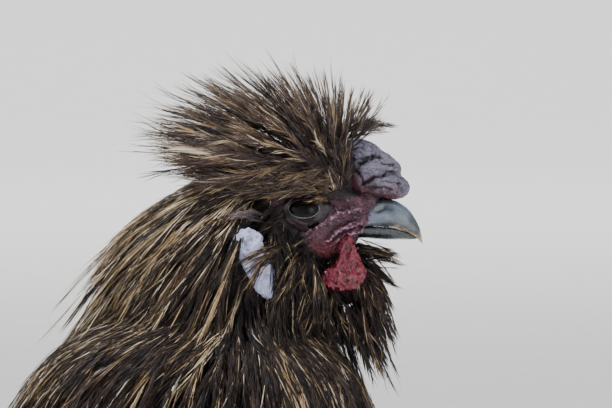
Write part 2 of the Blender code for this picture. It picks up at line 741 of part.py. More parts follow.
def all_parts():
    """Every part, the ones that keep their form where two meet before those that give way."""
    lids = [lid(side) for side in (-1, 1)]
    folds = [fold for side in (-1, 1) for fold in (*lips(side), brow(side))]
    sides = (("right", -1), ("left", 1))
    parts = [
        Part("head", "skin", [HEAD, *lids, *folds], cut_by=[MUZZLE]),
        Part("beak_upper", "beak", [UPPER_BEAK], cut_by=[nostril(-1), nostril(1)]),
        Part("beak_lower", "beak", [LOWER_BEAK]),
        Part("comb", "comb", comb()),
    ]
    for name, side in sides:
        parts.insert(0, Part(f"eye_{name}", "eye", [eye(side)]))
        parts.append(Part(f"earlobe_{name}", "earlobe", [earlobe(side)]))
        parts.append(Part(f"wattle_{name}", "wattle", [wattle(side)]))
    parts.append(Part("crest", "plumage", [CREST], crest_locks()))
    parts.append(Part("beard", "plumage", [BEARD], beard_locks()))
    for name, side in sides:
        parts.append(Part(f"muff_{name}", "plumage", [muff(side)], muff_locks(side)))
    parts.append(Part("neck", "hackle", [UPPER_NECK, LOWER_NECK], neck_locks()))
    parts.append(Part("torso", "plumage", [TORSO], torso_locks()))
    parts.append(Part("tail", "plumage", [TAIL], tail_locks()))
    for name, side in sides:
        parts.append(Part(f"wing_{name}", "plumage", [wing(side)], wing_vanes(side)))
        parts.append(Part(f"thigh_{name}", "plumage", [thigh(side)], thigh_locks(side)))
        parts.append(Part(f"leg_{name}", "leg", [foot_pad(side), shank(side)], shank_locks(side), [FLOOR]))
        for toe_name, sizes in TOES.items():
            label = f"{toe_name}_{name}"
            locks = toe_locks(side, toe_name)
            parts.append(Part(f"toe_{label}", "leg", [toe(side, *sizes)], locks, [FLOOR]))
            parts.append(Part(f"claw_{label}", "claw", [claw(side, *sizes)], cut_by=[FLOOR]))
    return parts


def build_part(part, before, after):
    """The core gives way to earlier cores, and the plumage to every core and earlier plumage."""
    earlier = [shape for other in before for shape in other.core]
    made = joined(part.core, earlier + part.cut_by)
    if part.plumage:
        others = [shape for other in after for shape in other.core]
        locks = [shape for other in before for shape in other.plumage]
        boolean(made, "UNION", [joined(part.plumage, earlier + others + locks + part.cut_by)])
    keep_largest(made)
    made.name = made.data.name = part.name
    made.data.materials.clear()
    made.data.materials.append(material(part.slot))
    made.data.shade_smooth()
    made.data.set_sharp_from_angle(angle=math.radians(SHARP_ANGLE))


def centre_on_origin():
    """Moves the whole bird level, so that the origin lies under the middle of its box."""
    points = [v.co for part in bpy.data.objects for v in part.data.vertices]
    middle = [(min(p[i] for p in points) + max(p[i] for p in points)) / 2 for i in (0, 1)]
    for part in bpy.data.objects:
        part.data.transform(Matrix.Translation((-middle[0], -middle[1], 0.0)))


def main():
    for old in list(bpy.data.objects):
        bpy.data.objects.remove(old)
    parts = all_parts()
    for i, part in enumerate(parts):
        build_part(part, parts[:i], parts[i + 1:])
    centre_on_origin()


main()
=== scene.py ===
"""A silkie rooster at life size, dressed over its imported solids.

The bird faces +X with its left side at +Y and stands on z = 0. Shapes are worked out in millimetres, in
the solids' own measures, and each finished piece is moved to the frame's place in metres. The skin and
the bare parts are blended from round forms and then wrinkled. The plumage is solid mesh: tufts that
follow the lie of the coat, each of them a shaft with loose barbs.
"""

import math

import bmesh
import bpy
import numpy as np
from bpy.props import FloatProperty, FloatVectorProperty, PointerProperty
from mathutils import Matrix, Vector, noise


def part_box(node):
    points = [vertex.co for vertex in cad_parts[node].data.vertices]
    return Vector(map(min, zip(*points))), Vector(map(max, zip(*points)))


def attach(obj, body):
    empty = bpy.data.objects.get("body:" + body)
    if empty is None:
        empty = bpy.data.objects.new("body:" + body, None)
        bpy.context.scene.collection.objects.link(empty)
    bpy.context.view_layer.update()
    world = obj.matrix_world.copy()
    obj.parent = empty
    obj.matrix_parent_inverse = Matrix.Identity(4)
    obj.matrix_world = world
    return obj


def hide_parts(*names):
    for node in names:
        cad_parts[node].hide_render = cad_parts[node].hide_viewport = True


bl_info = {
    "name": "Silkie rooster",
    "version": (1, 0, 0),
    "blender": (4, 5, 0),
    "location": "View3D > Sidebar > Rooster",
    "description": "Builds the skin, plumage and bare parts of a silkie rooster, and its stage",
    "category": "Object",
}

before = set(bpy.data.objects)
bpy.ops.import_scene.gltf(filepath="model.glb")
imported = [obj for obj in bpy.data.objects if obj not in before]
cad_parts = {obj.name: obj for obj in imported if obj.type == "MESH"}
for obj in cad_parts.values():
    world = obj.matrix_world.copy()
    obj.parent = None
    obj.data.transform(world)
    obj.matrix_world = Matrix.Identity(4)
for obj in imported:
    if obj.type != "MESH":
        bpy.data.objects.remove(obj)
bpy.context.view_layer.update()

MM = 0.001
PATCH = 0.003  # each tuft's patch on its piece's map
SIDES = (("right", -1), ("left", 1))

# The head's measures, in the solids' own millimetres. The frame sits a little off them along X.
EYE_X, EYE_Z, EYE_SPREAD = 82.0, 280.0, 9.8
_low, _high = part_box("eye_right")
OFFSET_X = (_low.x + _high.x) / 2 / MM - EYE_X
SHANK_X, STANCE, HOCK_Z = 14.0, 37.0, 66.0
TOES = {  # each toe's heading from straight ahead towards the outside, its length and its tip's height
    "middle": (2, 50, 2.6),
    "inner": (-34, 38, 2.6),
    "outer": (38, 42, 2.6),
    "hind": (-164, 21, 2.6),
    "fifth": (-128, 25, 17.0),
}

# The photograph's frame: 612 by 408 pixels of 0.35 mm at the bird's middle.
VIEW_X, VIEW_Z, VIEW_WIDTH = 82.35, 282.1, 214.2


# Sizes and colours that a user would change.

def length(name, description, default):
    return FloatProperty(name=name, description=description, default=default, unit="LENGTH")


def share(name, description, default):
    return FloatProperty(name=name, description=description, default=default, min=0.0, subtype="FACTOR")


def colour(name, description, default):
    return FloatVectorProperty(name=name, description=description, default=default, size=3,
                               min=0.0, max=1.0, subtype="COLOR")


def power(name, description, default):
    return FloatProperty(name=name, description=description, default=default, unit="POWER")


class RoosterSizes(bpy.types.PropertyGroup):
    """The sizes that shape the bird and its view."""

    eye_radius: length("Eye radius", "Radius of the eyeball", 0.0075)
    strand_width: length("Strand width", "Width of a barb of the hackle", 0.00043)
    skin_voxel: length("Skin grain", "Grain that the skin is blended at", 0.0009)
    wrinkle: length("Wrinkle", "Depth of the face's wrinkles", 0.0005)
    scute: length("Scute", "Length of one scute on the shank", 0.0034)
    view_distance: length("View distance", "From the camera to the bird", 1.9)
    coat_density: share("Coat density", "Tufts on each piece, 1 for the thickest coat", 0.975)
    view_height: FloatProperty(name="View height", description="Angle that the camera looks down",
                               default=math.radians(2.8), subtype="ANGLE")
    key_power: power("Key light", "Power of the key light", 52.0)
    fill_power: power("Fill light", "Power of the fill light", 9.0)
    backdrop_power: power("Backdrop light", "Power of each light on the backdrop", 260.0)


class RoosterColours(bpy.types.PropertyGroup):
    """The colours of the bird and its stage."""

    skin: colour("Skin", "Skin under the coat", (0.016, 0.010, 0.012))
    face: colour("Face", "Bare mulberry skin of the face", (0.090, 0.023, 0.042))
    # Painted highlight: the pale colour laid on the face's raised crinkles and folds
    face_highlight: colour("Face creases", "Pale crinkles of the face", (0.50, 0.27, 0.38))
    # Painted light: the grey laid over the comb's top and front
    comb: colour("Comb", "Grey bloom of the comb", (0.22, 0.215, 0.30))
    comb_low: colour("Comb foot", "Mulberry foot of the comb", (0.095, 0.020, 0.036))
    wattle: colour("Wattle", "Crimson of the wattles", (0.15, 0.005, 0.018))
    # Painted highlight: the pale red laid on the wattles' ridges
    wattle_highlight: colour("Wattle ridges", "Ridges of the wattles", (0.36, 0.025, 0.075))
    lobe: colour("Ear lobe", "Bluish white of the ear lobes", (0.68, 0.71, 0.92))
    beak: colour("Beak", "Blue grey of the beak", (0.050, 0.065, 0.090))
    # Painted highlight: the paler blue grey laid along the upper beak's top
    beak_highlight: colour("Beak ridge", "Paler ridge of the beak", (0.20, 0.25, 0.33))
    horn: colour("Beak tip", "Ivory horn of the beak's tip", (0.46, 0.34, 0.18))
    dark: colour("Dark plumage", "Black brown of the plumage", (0.0085, 0.0065, 0.0065))
    brown: colour("Brown plumage", "Brown of the plumage", (0.075, 0.046, 0.034))
    gold: colour("Golden plumage", "Gold of the hackle's streaks", (0.42, 0.28, 0.13))
    cream: colour("Cream plumage", "Cream of the palest streaks", (0.86, 0.78, 0.62))
    mauve: colour("Mauve plumage", "Grey mauve of the softest tufts", (0.16, 0.125, 0.145))
    leg: colour("Legs", "Slate of the legs", (0.055, 0.060, 0.072))
    floor: colour("Floor", "Pale floor", (0.86, 0.86, 0.85))


def sizes():
    return bpy.context.scene.rooster_sizes


def tints():
    return bpy.context.scene.rooster_colours


# Finishes.

class Finish:
    """A Principled material in the making, its patterns laid in Object coordinates, in metres."""

    def __init__(self, name, roughness=0.5, **constants):
        self.made = bpy.data.materials.new(name)
        self.made.use_nodes = True
        self.tree = self.made.node_tree
        self.shader = self.tree.nodes["Principled BSDF"]
        self.shader.inputs["Roughness"].default_value = roughness
        for socket, value in constants.items():
            self.shader.inputs[socket.replace("_", " ")].default_value = value
        self.place = self.tree.nodes.new("ShaderNodeTexCoord").outputs["Object"]
        self.normal = None

    def link(self, source, target):
        self.tree.links.new(source, target)

    def stretched(self, scale):
        node = self.tree.nodes.new("ShaderNodeMapping")
        node.inputs["Scale"].default_value = scale
        self.link(self.place, node.inputs["Vector"])
        return node.outputs["Vector"]

    def noise(self, size, detail=4.0, roughness=0.55, stretch=None, distortion=0.0):
        """Noise whose blotches are about the size given, in millimetres."""
        node = self.tree.nodes.new("ShaderNodeTexNoise")
        node.inputs["Scale"].default_value = 1.0 / (size * MM)
        node.inputs["Detail"].default_value = detail
        node.inputs["Roughness"].default_value = roughness
        node.inputs["Distortion"].default_value = distortion
        self.link(self.stretched(stretch) if stretch else self.place, node.inputs["Vector"])
        return node.outputs["Fac"]

    def cells(self, size, feature="F1", stretch=None):
        node = self.tree.nodes.new("ShaderNodeTexVoronoi")
        node.feature = feature
        node.inputs["Scale"].default_value = 1.0 / (size * MM)
        self.link(self.stretched(stretch) if stretch else self.place, node.inputs["Vector"])
        return node.outputs["Distance"]

    def attribute(self, name):
        node = self.tree.nodes.new("ShaderNodeAttribute")
        node.attribute_name = name
        return node.outputs["Fac"]

    def axis(self, letter):
        node = self.tree.nodes.new("ShaderNodeSeparateXYZ")
        self.link(self.place, node.inputs[0])
        return node.outputs[letter]

    def ramp(self, fac, *stops):
        node = self.tree.nodes.new("ShaderNodeValToRGB")
        stones = node.color_ramp.elements
        while len(stones) < len(stops):
            stones.new(1.0)
        for stone, (at, value) in zip(stones, stops):
            stone.position = at
            stone.color = (*tuple(value), 1.0)
        self.link(fac, node.inputs["Fac"])
        return node.outputs["Color"]

    def spread(self, fac, low, high, to_low=0.0, to_high=1.0):
        node = self.tree.nodes.new("ShaderNodeMapRange")
        ends = {"From Min": low, "From Max": high, "To Min": to_low, "To Max": to_high}
        for socket, value in ends.items():
            node.inputs[socket].default_value = value
        self.link(fac, node.inputs["Value"])
        return node.outputs["Result"]

    def patches(self, size, detail, low, high, to_low=0.0, to_high=1.0):
        """Noise stretched from low and high to two other values."""
        return self.spread(self.noise(size, detail), low, high, to_low, to_high)

    def mix(self, fac, first, second, blend="MIX"):
        node = self.tree.nodes.new("ShaderNodeMix")
        node.data_type, node.blend_type = "RGBA", blend
        for socket, value in zip((node.inputs["Factor"], node.inputs["A"], node.inputs["B"]),
                                 (fac, first, second)):
            if isinstance(value, bpy.types.NodeSocket):
                self.link(value, socket)
            elif isinstance(value, float):
                socket.default_value = value
            else:
                socket.default_value = (*value, 1.0)
        return node.outputs["Result"]

    def shaded(self, base, fac):
        """The base colour, darker where the factor is under 1."""
        dark_to_full = self.ramp(fac, (0.0, (0.0, 0.0, 0.0)), (1.0, (1.0, 1.0, 1.0)))
        return self.mix(1.0, base, dark_to_full, "MULTIPLY")

    def maths(self, operation, first, second):
        node = self.tree.nodes.new("ShaderNodeMath")
        node.operation = operation
        for socket, value in zip(node.inputs, (first, second)):
            if isinstance(value, bpy.types.NodeSocket):
                self.link(value, socket)
            else:
                socket.default_value = value
        return node.outputs[0]

    def bump(self, height, depth, strength=1.0):
        """Adds a relief of that depth in millimetres."""
        node = self.tree.nodes.new("ShaderNodeBump")
        node.inputs["Strength"].default_value = strength
        node.inputs["Distance"].default_value = depth * MM
        self.link(height, node.inputs["Height"])
        if self.normal:
            self.link(self.normal, node.inputs["Normal"])
        self.normal = node.outputs["Normal"]

    def done(self, base, roughness=None):
        self.link(base, self.shader.inputs["Base Color"])
        if roughness is not None:
            self.link(roughness, self.shader.inputs["Roughness"])
        if self.normal:
            self.link(self.normal, self.shader.inputs["Normal"])
        return self.made


# Forms.

def unit(vectors):
    return vectors / np.maximum(np.linalg.norm(vectors, axis=-1, keepdims=True), 1e-9)


def dot(a, b):
    return (a * b).sum(axis=-1, keepdims=True)


class Egg:
    """A smooth form of five radii round a centre. A positive pitch lifts its front, and a positive roll
    leans its top towards -Y."""

    def __init__(self, centre, front, back, side, up, down, pitch=0.0, roll=0.0):
        self.centre = np.array(centre, float)
        self.ahead = np.array((front, side, up), float)
        self.behind = np.array((back, side, down), float)
        nod = Matrix.Rotation(math.radians(-pitch), 3, "Y")
        self.turn = np.array(Matrix.Rotation(math.radians(roll), 3, "X") @ nod)

    def grown(self, extra):
        made = Egg(self.centre, 1, 1, 1, 1, 1)
        made.ahead, made.behind, made.turn = self.ahead + extra, self.behind + extra, self.turn
        return made

    def scaled(self, points):
        local = (points - self.centre) @ self.turn
        return local / np.where(local < 0, self.behind, self.ahead)

    def level(self, points):
        """Under 1 inside the egg, 1 on its surface and more outside."""
        return np.linalg.norm(self.scaled(points), axis=-1, keepdims=True)

    def normal(self, points):
        local = (points - self.centre) @ self.turn
        return unit((local / np.where(local < 0, self.behind, self.ahead) ** 2) @ self.turn.T)

    def at(self, units):
        return self.centre + (units * np.where(units < 0, self.behind, self.ahead)) @ self.turn.T

    def pushed(self, points):
        level = self.level(points)
        away = self.centre + (points - self.centre) / np.maximum(level, 0.05)
        return np.where(level < 1.0, away, points)


HEAD = Egg((77, 0, 277), 30, 22, 15.5, 19, 17, -8)
CREST = Egg((80, 0, 294), 25, 27, 20, 19, 13, -6)
BEARD = Egg((95, 0, 254), 13, 15, 11, 11, 12)
UPPER_NECK = Egg((55, 0, 250), 32, 36, 25, 42, 44, -12)
LOWER_NECK = Egg((46, 0, 202), 60, 60, 44, 48, 34, -3)
TORSO = Egg((4, 0, 138), 98, 86, 66, 60, 62, 6)
TAIL = Egg((-70, 0, 186), 24, 21, 22, 27, 23, 30)


def eyeball(side):
    radius = sizes().eye_radius / MM
    return Egg((EYE_X, side * EYE_SPREAD, EYE_Z), *[radius] * 5)


def muff(side):
    return Egg((79, side * 11, 258), 12, 11, 9, 11, 14)


def wing(side):
    return Egg((9, side * 64.5, 145), 40, 42, 8.5, 27, 25, 8, roll=side * 17)


def thigh(side):
    return Egg((12, side * 38, 80), 24, 26, 19, 34, 30)


def wattle_egg(side):
    return Egg((95.8, side * 11.2, 261.6), 7.2, 7.0, 2.4, 10.4, 9.0, -8)


def lobe_egg(side):
    return Egg((64.6, side * 19.6, 262.6), 5.6, 5.2, 5.2, 11.6, 11.6, 20)


def lobe_window(side):
    """The room beside the ear lobe that the hackle leaves free."""
    return Egg(lobe_egg(side).centre + (0.3, side * 12.0, 0.0), 5.5, 5.0, 22.0, 10.5, 11.5, 20)


def comb_eggs():
    """The comb's folds, from the back of its top to its front, over a round base."""
    folds = ((102.6, 300.2, 7.4, 4.3, 6.4, -20), (99.8, 301.0, 3.6, 3.7, 5.0, 0),
             (107.7, 295.4, 8.3, 4.5, 8.2, -12), (111.3, 288.5, 7.6, 4.7, 7.8, -10),
             (101.2, 290.6, 6.0, 5.6, 8.6, 0))
    eggs = [Egg((x, 0, z), long, long, wide, tall, tall, pitch) for x, z, long, tall, wide, pitch in folds]
    return eggs + [Egg((106.2, 0, 292.6), 9.8, 9.6, 8, 8.6, 8.4, -32)]


def add_egg(bm, egg, segments=32, rings=20):
    made = bmesh.ops.create_uvsphere(bm, u_segments=segments, v_segments=rings, radius=1.0)["verts"]
    places = egg.at(np.array([vert.co for vert in made]))
    for vert, place in zip(made, places):
        vert.co = place


def swept(bm, segments, count, put, capped=True):
    """Extrudes a ring of vertices again and again. put(ring, i) places ring i, whose vertices come with
    their angles. Returns the edges of the first ring and of the last."""
    turned = bm.verts.layers.float.get("turned") or bm.verts.layers.float.new("turned")
    verts = bmesh.ops.create_circle(bm, segments=segments, radius=1.0, cap_ends=capped)["verts"]
    for vert in verts:
        vert[turned] = math.atan2(vert.co.y, vert.co.x)
    first = edges = list(dict.fromkeys(edge for vert in verts for edge in vert.link_edges))
    put([(vert, vert[turned]) for vert in verts], 0)
    for i in range(1, count):
        grown = bmesh.ops.extrude_edge_only(bm, edges=edges)["geom"]
        new = set(grown)
        edges = [item for item in grown
                 if isinstance(item, bmesh.types.BMEdge) and new.issuperset(item.verts)]
        verts = dict.fromkeys(vert for edge in edges for vert in edge.verts)
        put([(vert, vert[turned]) for vert in verts], i)
    return first, edges


def add_limb(bm, points, radii, sides=14, upright=(0.0, 0.13, 1.0)):
    """Sweeps a round section along points."""
    points = [Vector(point) for point in points]
    last = len(points) - 1

    def put(ring, i):
        along = (points[min(i + 1, last)] - points[max(i - 1, 0)]).normalized()
        side = along.cross(Vector(upright)).normalized()
        above = side.cross(along)
        for vert, a in ring:
            vert.co = points[i] + (side * math.cos(a) + above * math.sin(a)) * radii[i]

    bmesh.ops.contextual_create(bm, geom=swept(bm, sides, last + 1, put)[1])


def mesh_of(bm, name):
    bmesh.ops.recalc_face_normals(bm, faces=bm.faces)
    mesh = bpy.data.meshes.new(name)
    bm.to_mesh(mesh)
    bm.free()
    return mesh


def with_modifiers(mesh, *wanted, group=None):
    """The mesh after the modifiers given, each as (type, settings)."""
    carrier = bpy.data.objects.new("carrier", mesh)
    bpy.context.scene.collection.objects.link(carrier)
    if group is not None:
        held = carrier.vertex_groups.new(name="held")
        held.add([int(i) for i in np.nonzero(group)[0]], 1.0, "REPLACE")
    for kind, settings in wanted:
        modifier = carrier.modifiers.new(kind.lower(), kind)
        for key, value in settings.items():
            setattr(modifier, key, value)
    graph = bpy.context.evaluated_depsgraph_get()
    made = bpy.data.meshes.new_from_object(carrier.evaluated_get(graph))
    bpy.data.objects.remove(carrier)
    bpy.data.meshes.remove(mesh)
    return made


def blended(bm, grain, smoothing=4):
    """One closed skin over every form in the bmesh, blended at the grain given in millimetres."""
    return with_modifiers(mesh_of(bm, "blend"),
                          ("REMESH", {"mode": "VOXEL", "voxel_size": grain}),
                          ("SMOOTH", {"factor": 0.5, "iterations": smoothing}))


def coordinates(mesh):
    places = np.empty(len(mesh.vertices) * 3)
    mesh.vertices.foreach_get("co", places)
    return places.reshape(-1, 3)


def normals(mesh):
    ways = np.empty(len(mesh.vertices) * 3)
    mesh.vertex_normals.foreach_get("vector", ways)
    return ways.reshape(-1, 3)


def moved_to(mesh, places):
    mesh.vertices.foreach_set("co", np.ascontiguousarray(places, float).ravel())
    mesh.update()


def mark(mesh, name, values):
    attribute = mesh.attributes.new(name, "FLOAT", "POINT")
    attribute.data.foreach_set("value", np.ascontiguousarray(values, np.float32).ravel())


def roughened(places, size, octaves=3, kind="soft", stretch=(1, 1, 1)):
    """Noise at each place, about -1 to 1, or ridges from 0 to 1."""
    scale = [s / size for s in stretch]
    values = np.empty(len(places))
    for i, place in enumerate(places):
        at = Vector((place[0] * scale[0], place[1] * scale[1], place[2] * scale[2]))
        if kind == "ridged":
            values[i] = 1.0 - abs(noise.fractal(at, 0.9, 2.0, octaves)) * 2.2
        else:
            values[i] = noise.fractal(at, 0.9, 2.0, octaves)
    return values


def smoothstep(values, low, high):
    t = np.clip((values - low) / (high - low), 0.0, 1.0)
    return t * t * (3.0 - 2.0 * t)


def near_line(places, line, width):
    """1 on a line drawn on the bird's side as (x, z) points, falling to 0 away from it."""
    best = np.full(len(places), 1e9)
    flat = places[:, [0, 2]]
    for a, b in zip(line, line[1:]):
        a, b = np.array(a, float), np.array(b, float)
        t = np.clip(((flat - a) @ (b - a)) / ((b - a) @ (b - a)), 0.0, 1.0)
        best = np.minimum(best, np.linalg.norm(flat - a - t[:, None] * (b - a), axis=1))
    return np.exp(-(best / width) ** 2)


def inside_outline(places, outline):
    """How far each place lies inside a convex outline drawn on the bird's side as (x, z) points."""
    least = np.full(len(places), 1e9)
    for (ax, az), (bx, bz) in zip(outline, outline[1:] + outline[:1]):
        along = np.array((bx - ax, bz - az)) / math.hypot(bx - ax, bz - az)
        least = np.minimum(least, (places[:, 0] - ax) * along[1] - (places[:, 2] - az) * along[0])
    return least


def curve(points, count):
    """Places along a smooth curve through the points."""
    points = np.array(points, float)
    padded = np.concatenate([2 * points[:1] - points[1:2], points, 2 * points[-1:] - points[-2:-1]])
    t = np.linspace(0.0, len(points) - 1, count)
    k = np.minimum(t.astype(int), len(points) - 2)
    f = (t - k)[:, None]
    a, b, c, d = (padded[k + i] for i in range(4))
    square, cube = 2 * a - 5 * b + 4 * c - d, 3 * b - a - 3 * c + d
    return (2 * b + (c - a) * f + square * f ** 2 + cube * f ** 3) / 2


def finished(mesh, name, finish, replaced=()):
    """Moves the mesh from millimetres to the frame's place and makes it a piece of the bird."""
    places = coordinates(mesh)
    moved_to(mesh, (places + (OFFSET_X, 0.0, 0.0)) * MM)
    mesh.name = name
    mesh.materials.clear()
    mesh.materials.append(finish)
    mesh.shade_smooth()
    piece = bpy.data.objects.new(name, mesh)
    bpy.context.scene.collection.objects.link(piece)
    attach(piece, "root")
    if replaced:
        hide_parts(*replaced)
    return piece


# Plumage.

def golden_units(count):
    """Directions spread evenly over a sphere."""
    k = np.arange(count) + 0.5
    z = 1.0 - 2.0 * k / count
    turn = math.pi * (3.0 - math.sqrt(5.0)) * k
    level = np.sqrt(1.0 - z * z)
    return np.stack([level * np.cos(turn), level * np.sin(turn), z], axis=1)


def roots_on(core, spacing, depth, pole, span, keep, skip, draw):
    """Where tufts leave the skin, a depth inside the core, about a spacing apart."""
    radii = (core.ahead + core.behind) / 2
    a, b, c = radii ** 1.6
    area = 4.0 * math.pi * ((a * b + a * c + b * c) / 3.0) ** (1.0 / 1.6)
    count = int(area / spacing ** 2 * sizes().coat_density)
    units = unit(golden_units(count) + draw.normal(0.0, 0.6 / math.sqrt(count), (count, 3)))
    polar = np.degrees(np.arccos(np.clip(units @ unit(np.array(pole, float)), -1, 1)))
    units = units[(polar >= span[0]) & (polar <= span[1])]
    surface = core.at(units)
    free = np.ones(len(units), bool) if keep is None else keep(surface)
    for other in skip:
        free = free & (other.level(surface)[:, 0] > 1.0)
    return core.grown(-depth).at(units[free])


def laid(core, roots, lie, reach, lift, hang, depth, clear=(), sway=0.0, steps=7):
    """The line of each tuft along the lie, and the way out of the coat along it. A hang near 1 lets it
    leave the core's form and follow the lie straight."""
    count = len(roots)
    reach, lift, hang, sway = [np.broadcast_to(np.asarray(v, float).reshape(-1, 1), (count, 1))
                               for v in (reach, lift, hang, sway)]
    points = roots.copy()
    lines, outs = [points], [core.normal(points)]
    rises = np.array([0.5, 0.3, 0.2] + [0.0] * steps)[:steps] * depth
    for k in range(steps):
        out = core.normal(points)
        way = unit(lie(points, out))
        way = way + np.cross(out, way) * sway
        way = unit(way - out * dot(way, out) * (1.0 - hang))
        level = core.level(points)
        ahead = points + way * reach / steps
        held = core.centre + (ahead - core.centre) * level / core.level(ahead)
        points = held + (ahead - held) * hang + out * (lift * reach / steps + rises[k])
        for body in clear:
            points = body.pushed(points)
        lines.append(points)
        outs.append(core.normal(points))
    return np.stack(lines, axis=1), np.stack(outs, axis=1)


def along_lines(lines, t):
    """Places at t from 0 to 1 along each line, for t of (tufts, strands, rings)."""
    steps = lines.shape[1] - 1
    f = np.clip(t, 0.0, 1.2) * steps
    k = np.clip(np.floor(f).astype(int), 0, steps - 1)
    rows = np.arange(len(lines))[:, None, None]
    near, far = lines[rows, k], lines[rows, k + 1]
    return near + (far - near) * (f - k)[..., None]


class Coat:
    """The tufts of one piece, gathered as strands and made into one mesh at the end."""

    def __init__(self, name, seed):
        self.name = name
        self.draw = np.random.default_rng(seed)
        self.points, self.faces, self.marks, self.maps = [], [], [], []
        self.total = 0

    def cover(self, core, spacing, depth, lie, reach, shade, *, pole=(0, 0, 1), span=(0, 180),
              keep=None, skip=(), clear=(), lift=(0.05, 0.2), hang=(0.2, 0.5), sway=0.15, spared=(),
              **more):
        """Covers a core with tufts that follow the lie. reach, shade, lift and hang may be functions of
        the roots, and no tuft passes over a spared form."""
        draw = self.draw
        roots = roots_on(core, spacing, depth, pole, span, keep, skip, draw)
        count = len(roots)
        reach = (reach(roots) if callable(reach) else reach) * draw.uniform(0.68, 1.32, count)
        lift = lift(roots) if callable(lift) else draw.uniform(*lift, count)
        hang = hang(roots) if callable(hang) else draw.uniform(*hang, count)
        lines, outs = laid(core, roots, lie, reach, lift, hang, depth, clear, draw.normal(0.0, sway, count))
        shown = np.ones(count, bool)
        for form in spared:
            shown &= (form.level(lines[:, 1:]).reshape(count, -1) > 1.0).all(axis=1)
        roots, lines, outs = roots[shown], lines[shown], outs[shown]
        self.tufts(lines, outs, shade(roots, draw), unwrapped(core, roots), **more)

    def lock(self, path, spread, count, shade, core, *, tip_spread=0.3, **more):
        """Adds a lock of tufts that runs along a path and draws together at its tip."""
        line = curve(path, 8)
        fade = np.linspace(1.0, tip_spread, 8)[None, :, None]
        lines = line + self.draw.normal(0.0, spread, (count, 1, 3)) * fade
        lines = lines[:, :1] + (lines - lines[:, :1]) * self.draw.uniform(0.8, 1.1, (count, 1, 1))
        outs = core.normal(lines)
        self.tufts(lines, outs, shade(lines[:, 0], self.draw), unwrapped(core, lines[:, 0]), **more)

    def tufts(self, lines, outs, shade, where, barbs, width, vane, barb_reach=(0.25, 0.5), fluff=1.0,
              first=0.0, shaft_width=1.3, even=False, straight=0.0, mauve=0.0):
        """Adds a shaft and loose barbs on each line. barbs is how many, width how wide each is, vane half
        the tuft's breadth, fluff how far the barbs stand off, straight the share of plain short barbs,
        and where the place of each root on the skin's unwrap."""
        draw, count = self.draw, len(lines)
        plain_barbs = int(barbs * straight)
        kinds = ((barbs - plain_barbs, (0.0, 0.55, 1.0), 1.0), (plain_barbs, (0.0, 1.0), 1.35))
        for each, u, wider in kinds:
            if not each:
                continue
            start = draw.uniform(first, 0.84, (count, each))
            if even:
                place = (np.arange(each) + draw.uniform(0, 1, (count, each))) / each
                start = first + (0.92 - first) * place
            reach = draw.uniform(*barb_reach, (count, each)) * (1.0 - 0.25 * start)
            hand = np.where(np.arange(each) % 2, 1.0, -1.0)
            aside = hand * draw.uniform(0.2, 1.0, (count, each)) * vane
            stand = draw.normal(0.15, 0.55, (count, each)) * fluff
            self.strands(lines, outs, start, reach, aside, stand, width * wider, shade, where, u, mauve)
        none = np.zeros((count, 1))
        self.strands(lines, outs, none, none + 1.0, none, none, width * shaft_width, shade, where,
                     (0.0, 0.25, 0.5, 0.75, 1.0), mauve)

    def strands(self, lines, outs, start, reach, aside, stand, width, shade, where, u, mauve):
        """Adds closed, tapered, three-sided strands that follow the lines from start, for reach."""
        draw, (count, each), rings, u = self.draw, start.shape, len(u) - 1, np.array(u)
        t = start[..., None] + reach[..., None] * u
        middle = along_lines(lines, t)
        out = unit(along_lines(outs, t))
        along = unit(along_lines(lines, t + 0.06) - along_lines(lines, t - 0.06))
        side = unit(np.cross(along, out))
        bend = draw.uniform(1.1, 1.9, (count, each, 1))
        middle = middle + side * (aside[..., None] * u ** bend)[..., None]
        middle = middle + out * (stand[..., None] * u ** 1.3)[..., None]
        along = unit(np.gradient(middle, axis=2))
        side = unit(np.cross(along, out))
        above = np.cross(side, along)
        taper = np.interp(u[:rings], (0.0, 0.3, 0.7, 1.0), (0.6, 1.0, 0.85, 0.4))
        wide = (width * draw.uniform(0.7, 1.25, (count, each, 1)) / 2 * taper)[..., None]
        body, s, a = middle[:, :, :rings], side[:, :, :rings] * wide, above[:, :, :rings] * wide
        ring = np.stack([body + s - a * 0.2, body - s - a * 0.2, body + a * 0.6], axis=3)
        strands, per = count * each, rings * 3 + 1
        points = np.concatenate([ring.reshape(strands, rings * 3, 3),
                                 middle[:, :, rings].reshape(strands, 1, 3)], axis=1)
        faces = [(0, 2, 1)]
        for r in range(rings - 1):
            for k in range(3):
                near, far, n = r * 3, r * 3 + 3, (k + 1) % 3
                faces += [(near + k, near + n, far + n), (near + k, far + n, far + k)]
        top = (rings - 1) * 3
        faces += [(top + k, top + (k + 1) % 3, rings * 3) for k in range(3)]
        faces = np.array(faces)[None] + (self.total + np.arange(strands) * per)[:, None, None]

        tone, pale_share, light = [np.broadcast_to(np.asarray(v, float).reshape(-1, 1), (count, 1))
                                   for v in shade]
        pale = draw.random((count, each)) < pale_share
        tone = np.where(pale, light + draw.normal(0.0, 0.12, (count, each)),
                        np.maximum(tone + draw.normal(0.0, 0.07, (count, each)), 0.0))
        tall = np.clip(t, 0.0, 1.0)
        spots = np.stack([np.broadcast_to(((np.arange(each) + 0.5) / each - 0.5)[None, :, None], t.shape),
                          tall - 0.5], axis=-1) * PATCH + where[:, None, None, :]
        ring_spots = np.repeat(spots[:, :, :rings, None, :], 3, axis=3)
        ring_spots[..., 0] += np.array((-0.35, 0.35, 0.0)) * PATCH / each
        maps = np.concatenate([ring_spots.reshape(strands, rings * 3, 2),
                               spots[:, :, rings].reshape(strands, 1, 2)], axis=1)

        def per_point(values):
            values = np.broadcast_to(values, t.shape)
            rows = np.repeat(values[:, :, :rings, None], 3, axis=3).reshape(strands, rings * 3)
            return np.concatenate([rows, values[:, :, rings].reshape(strands, 1)], axis=1).ravel()

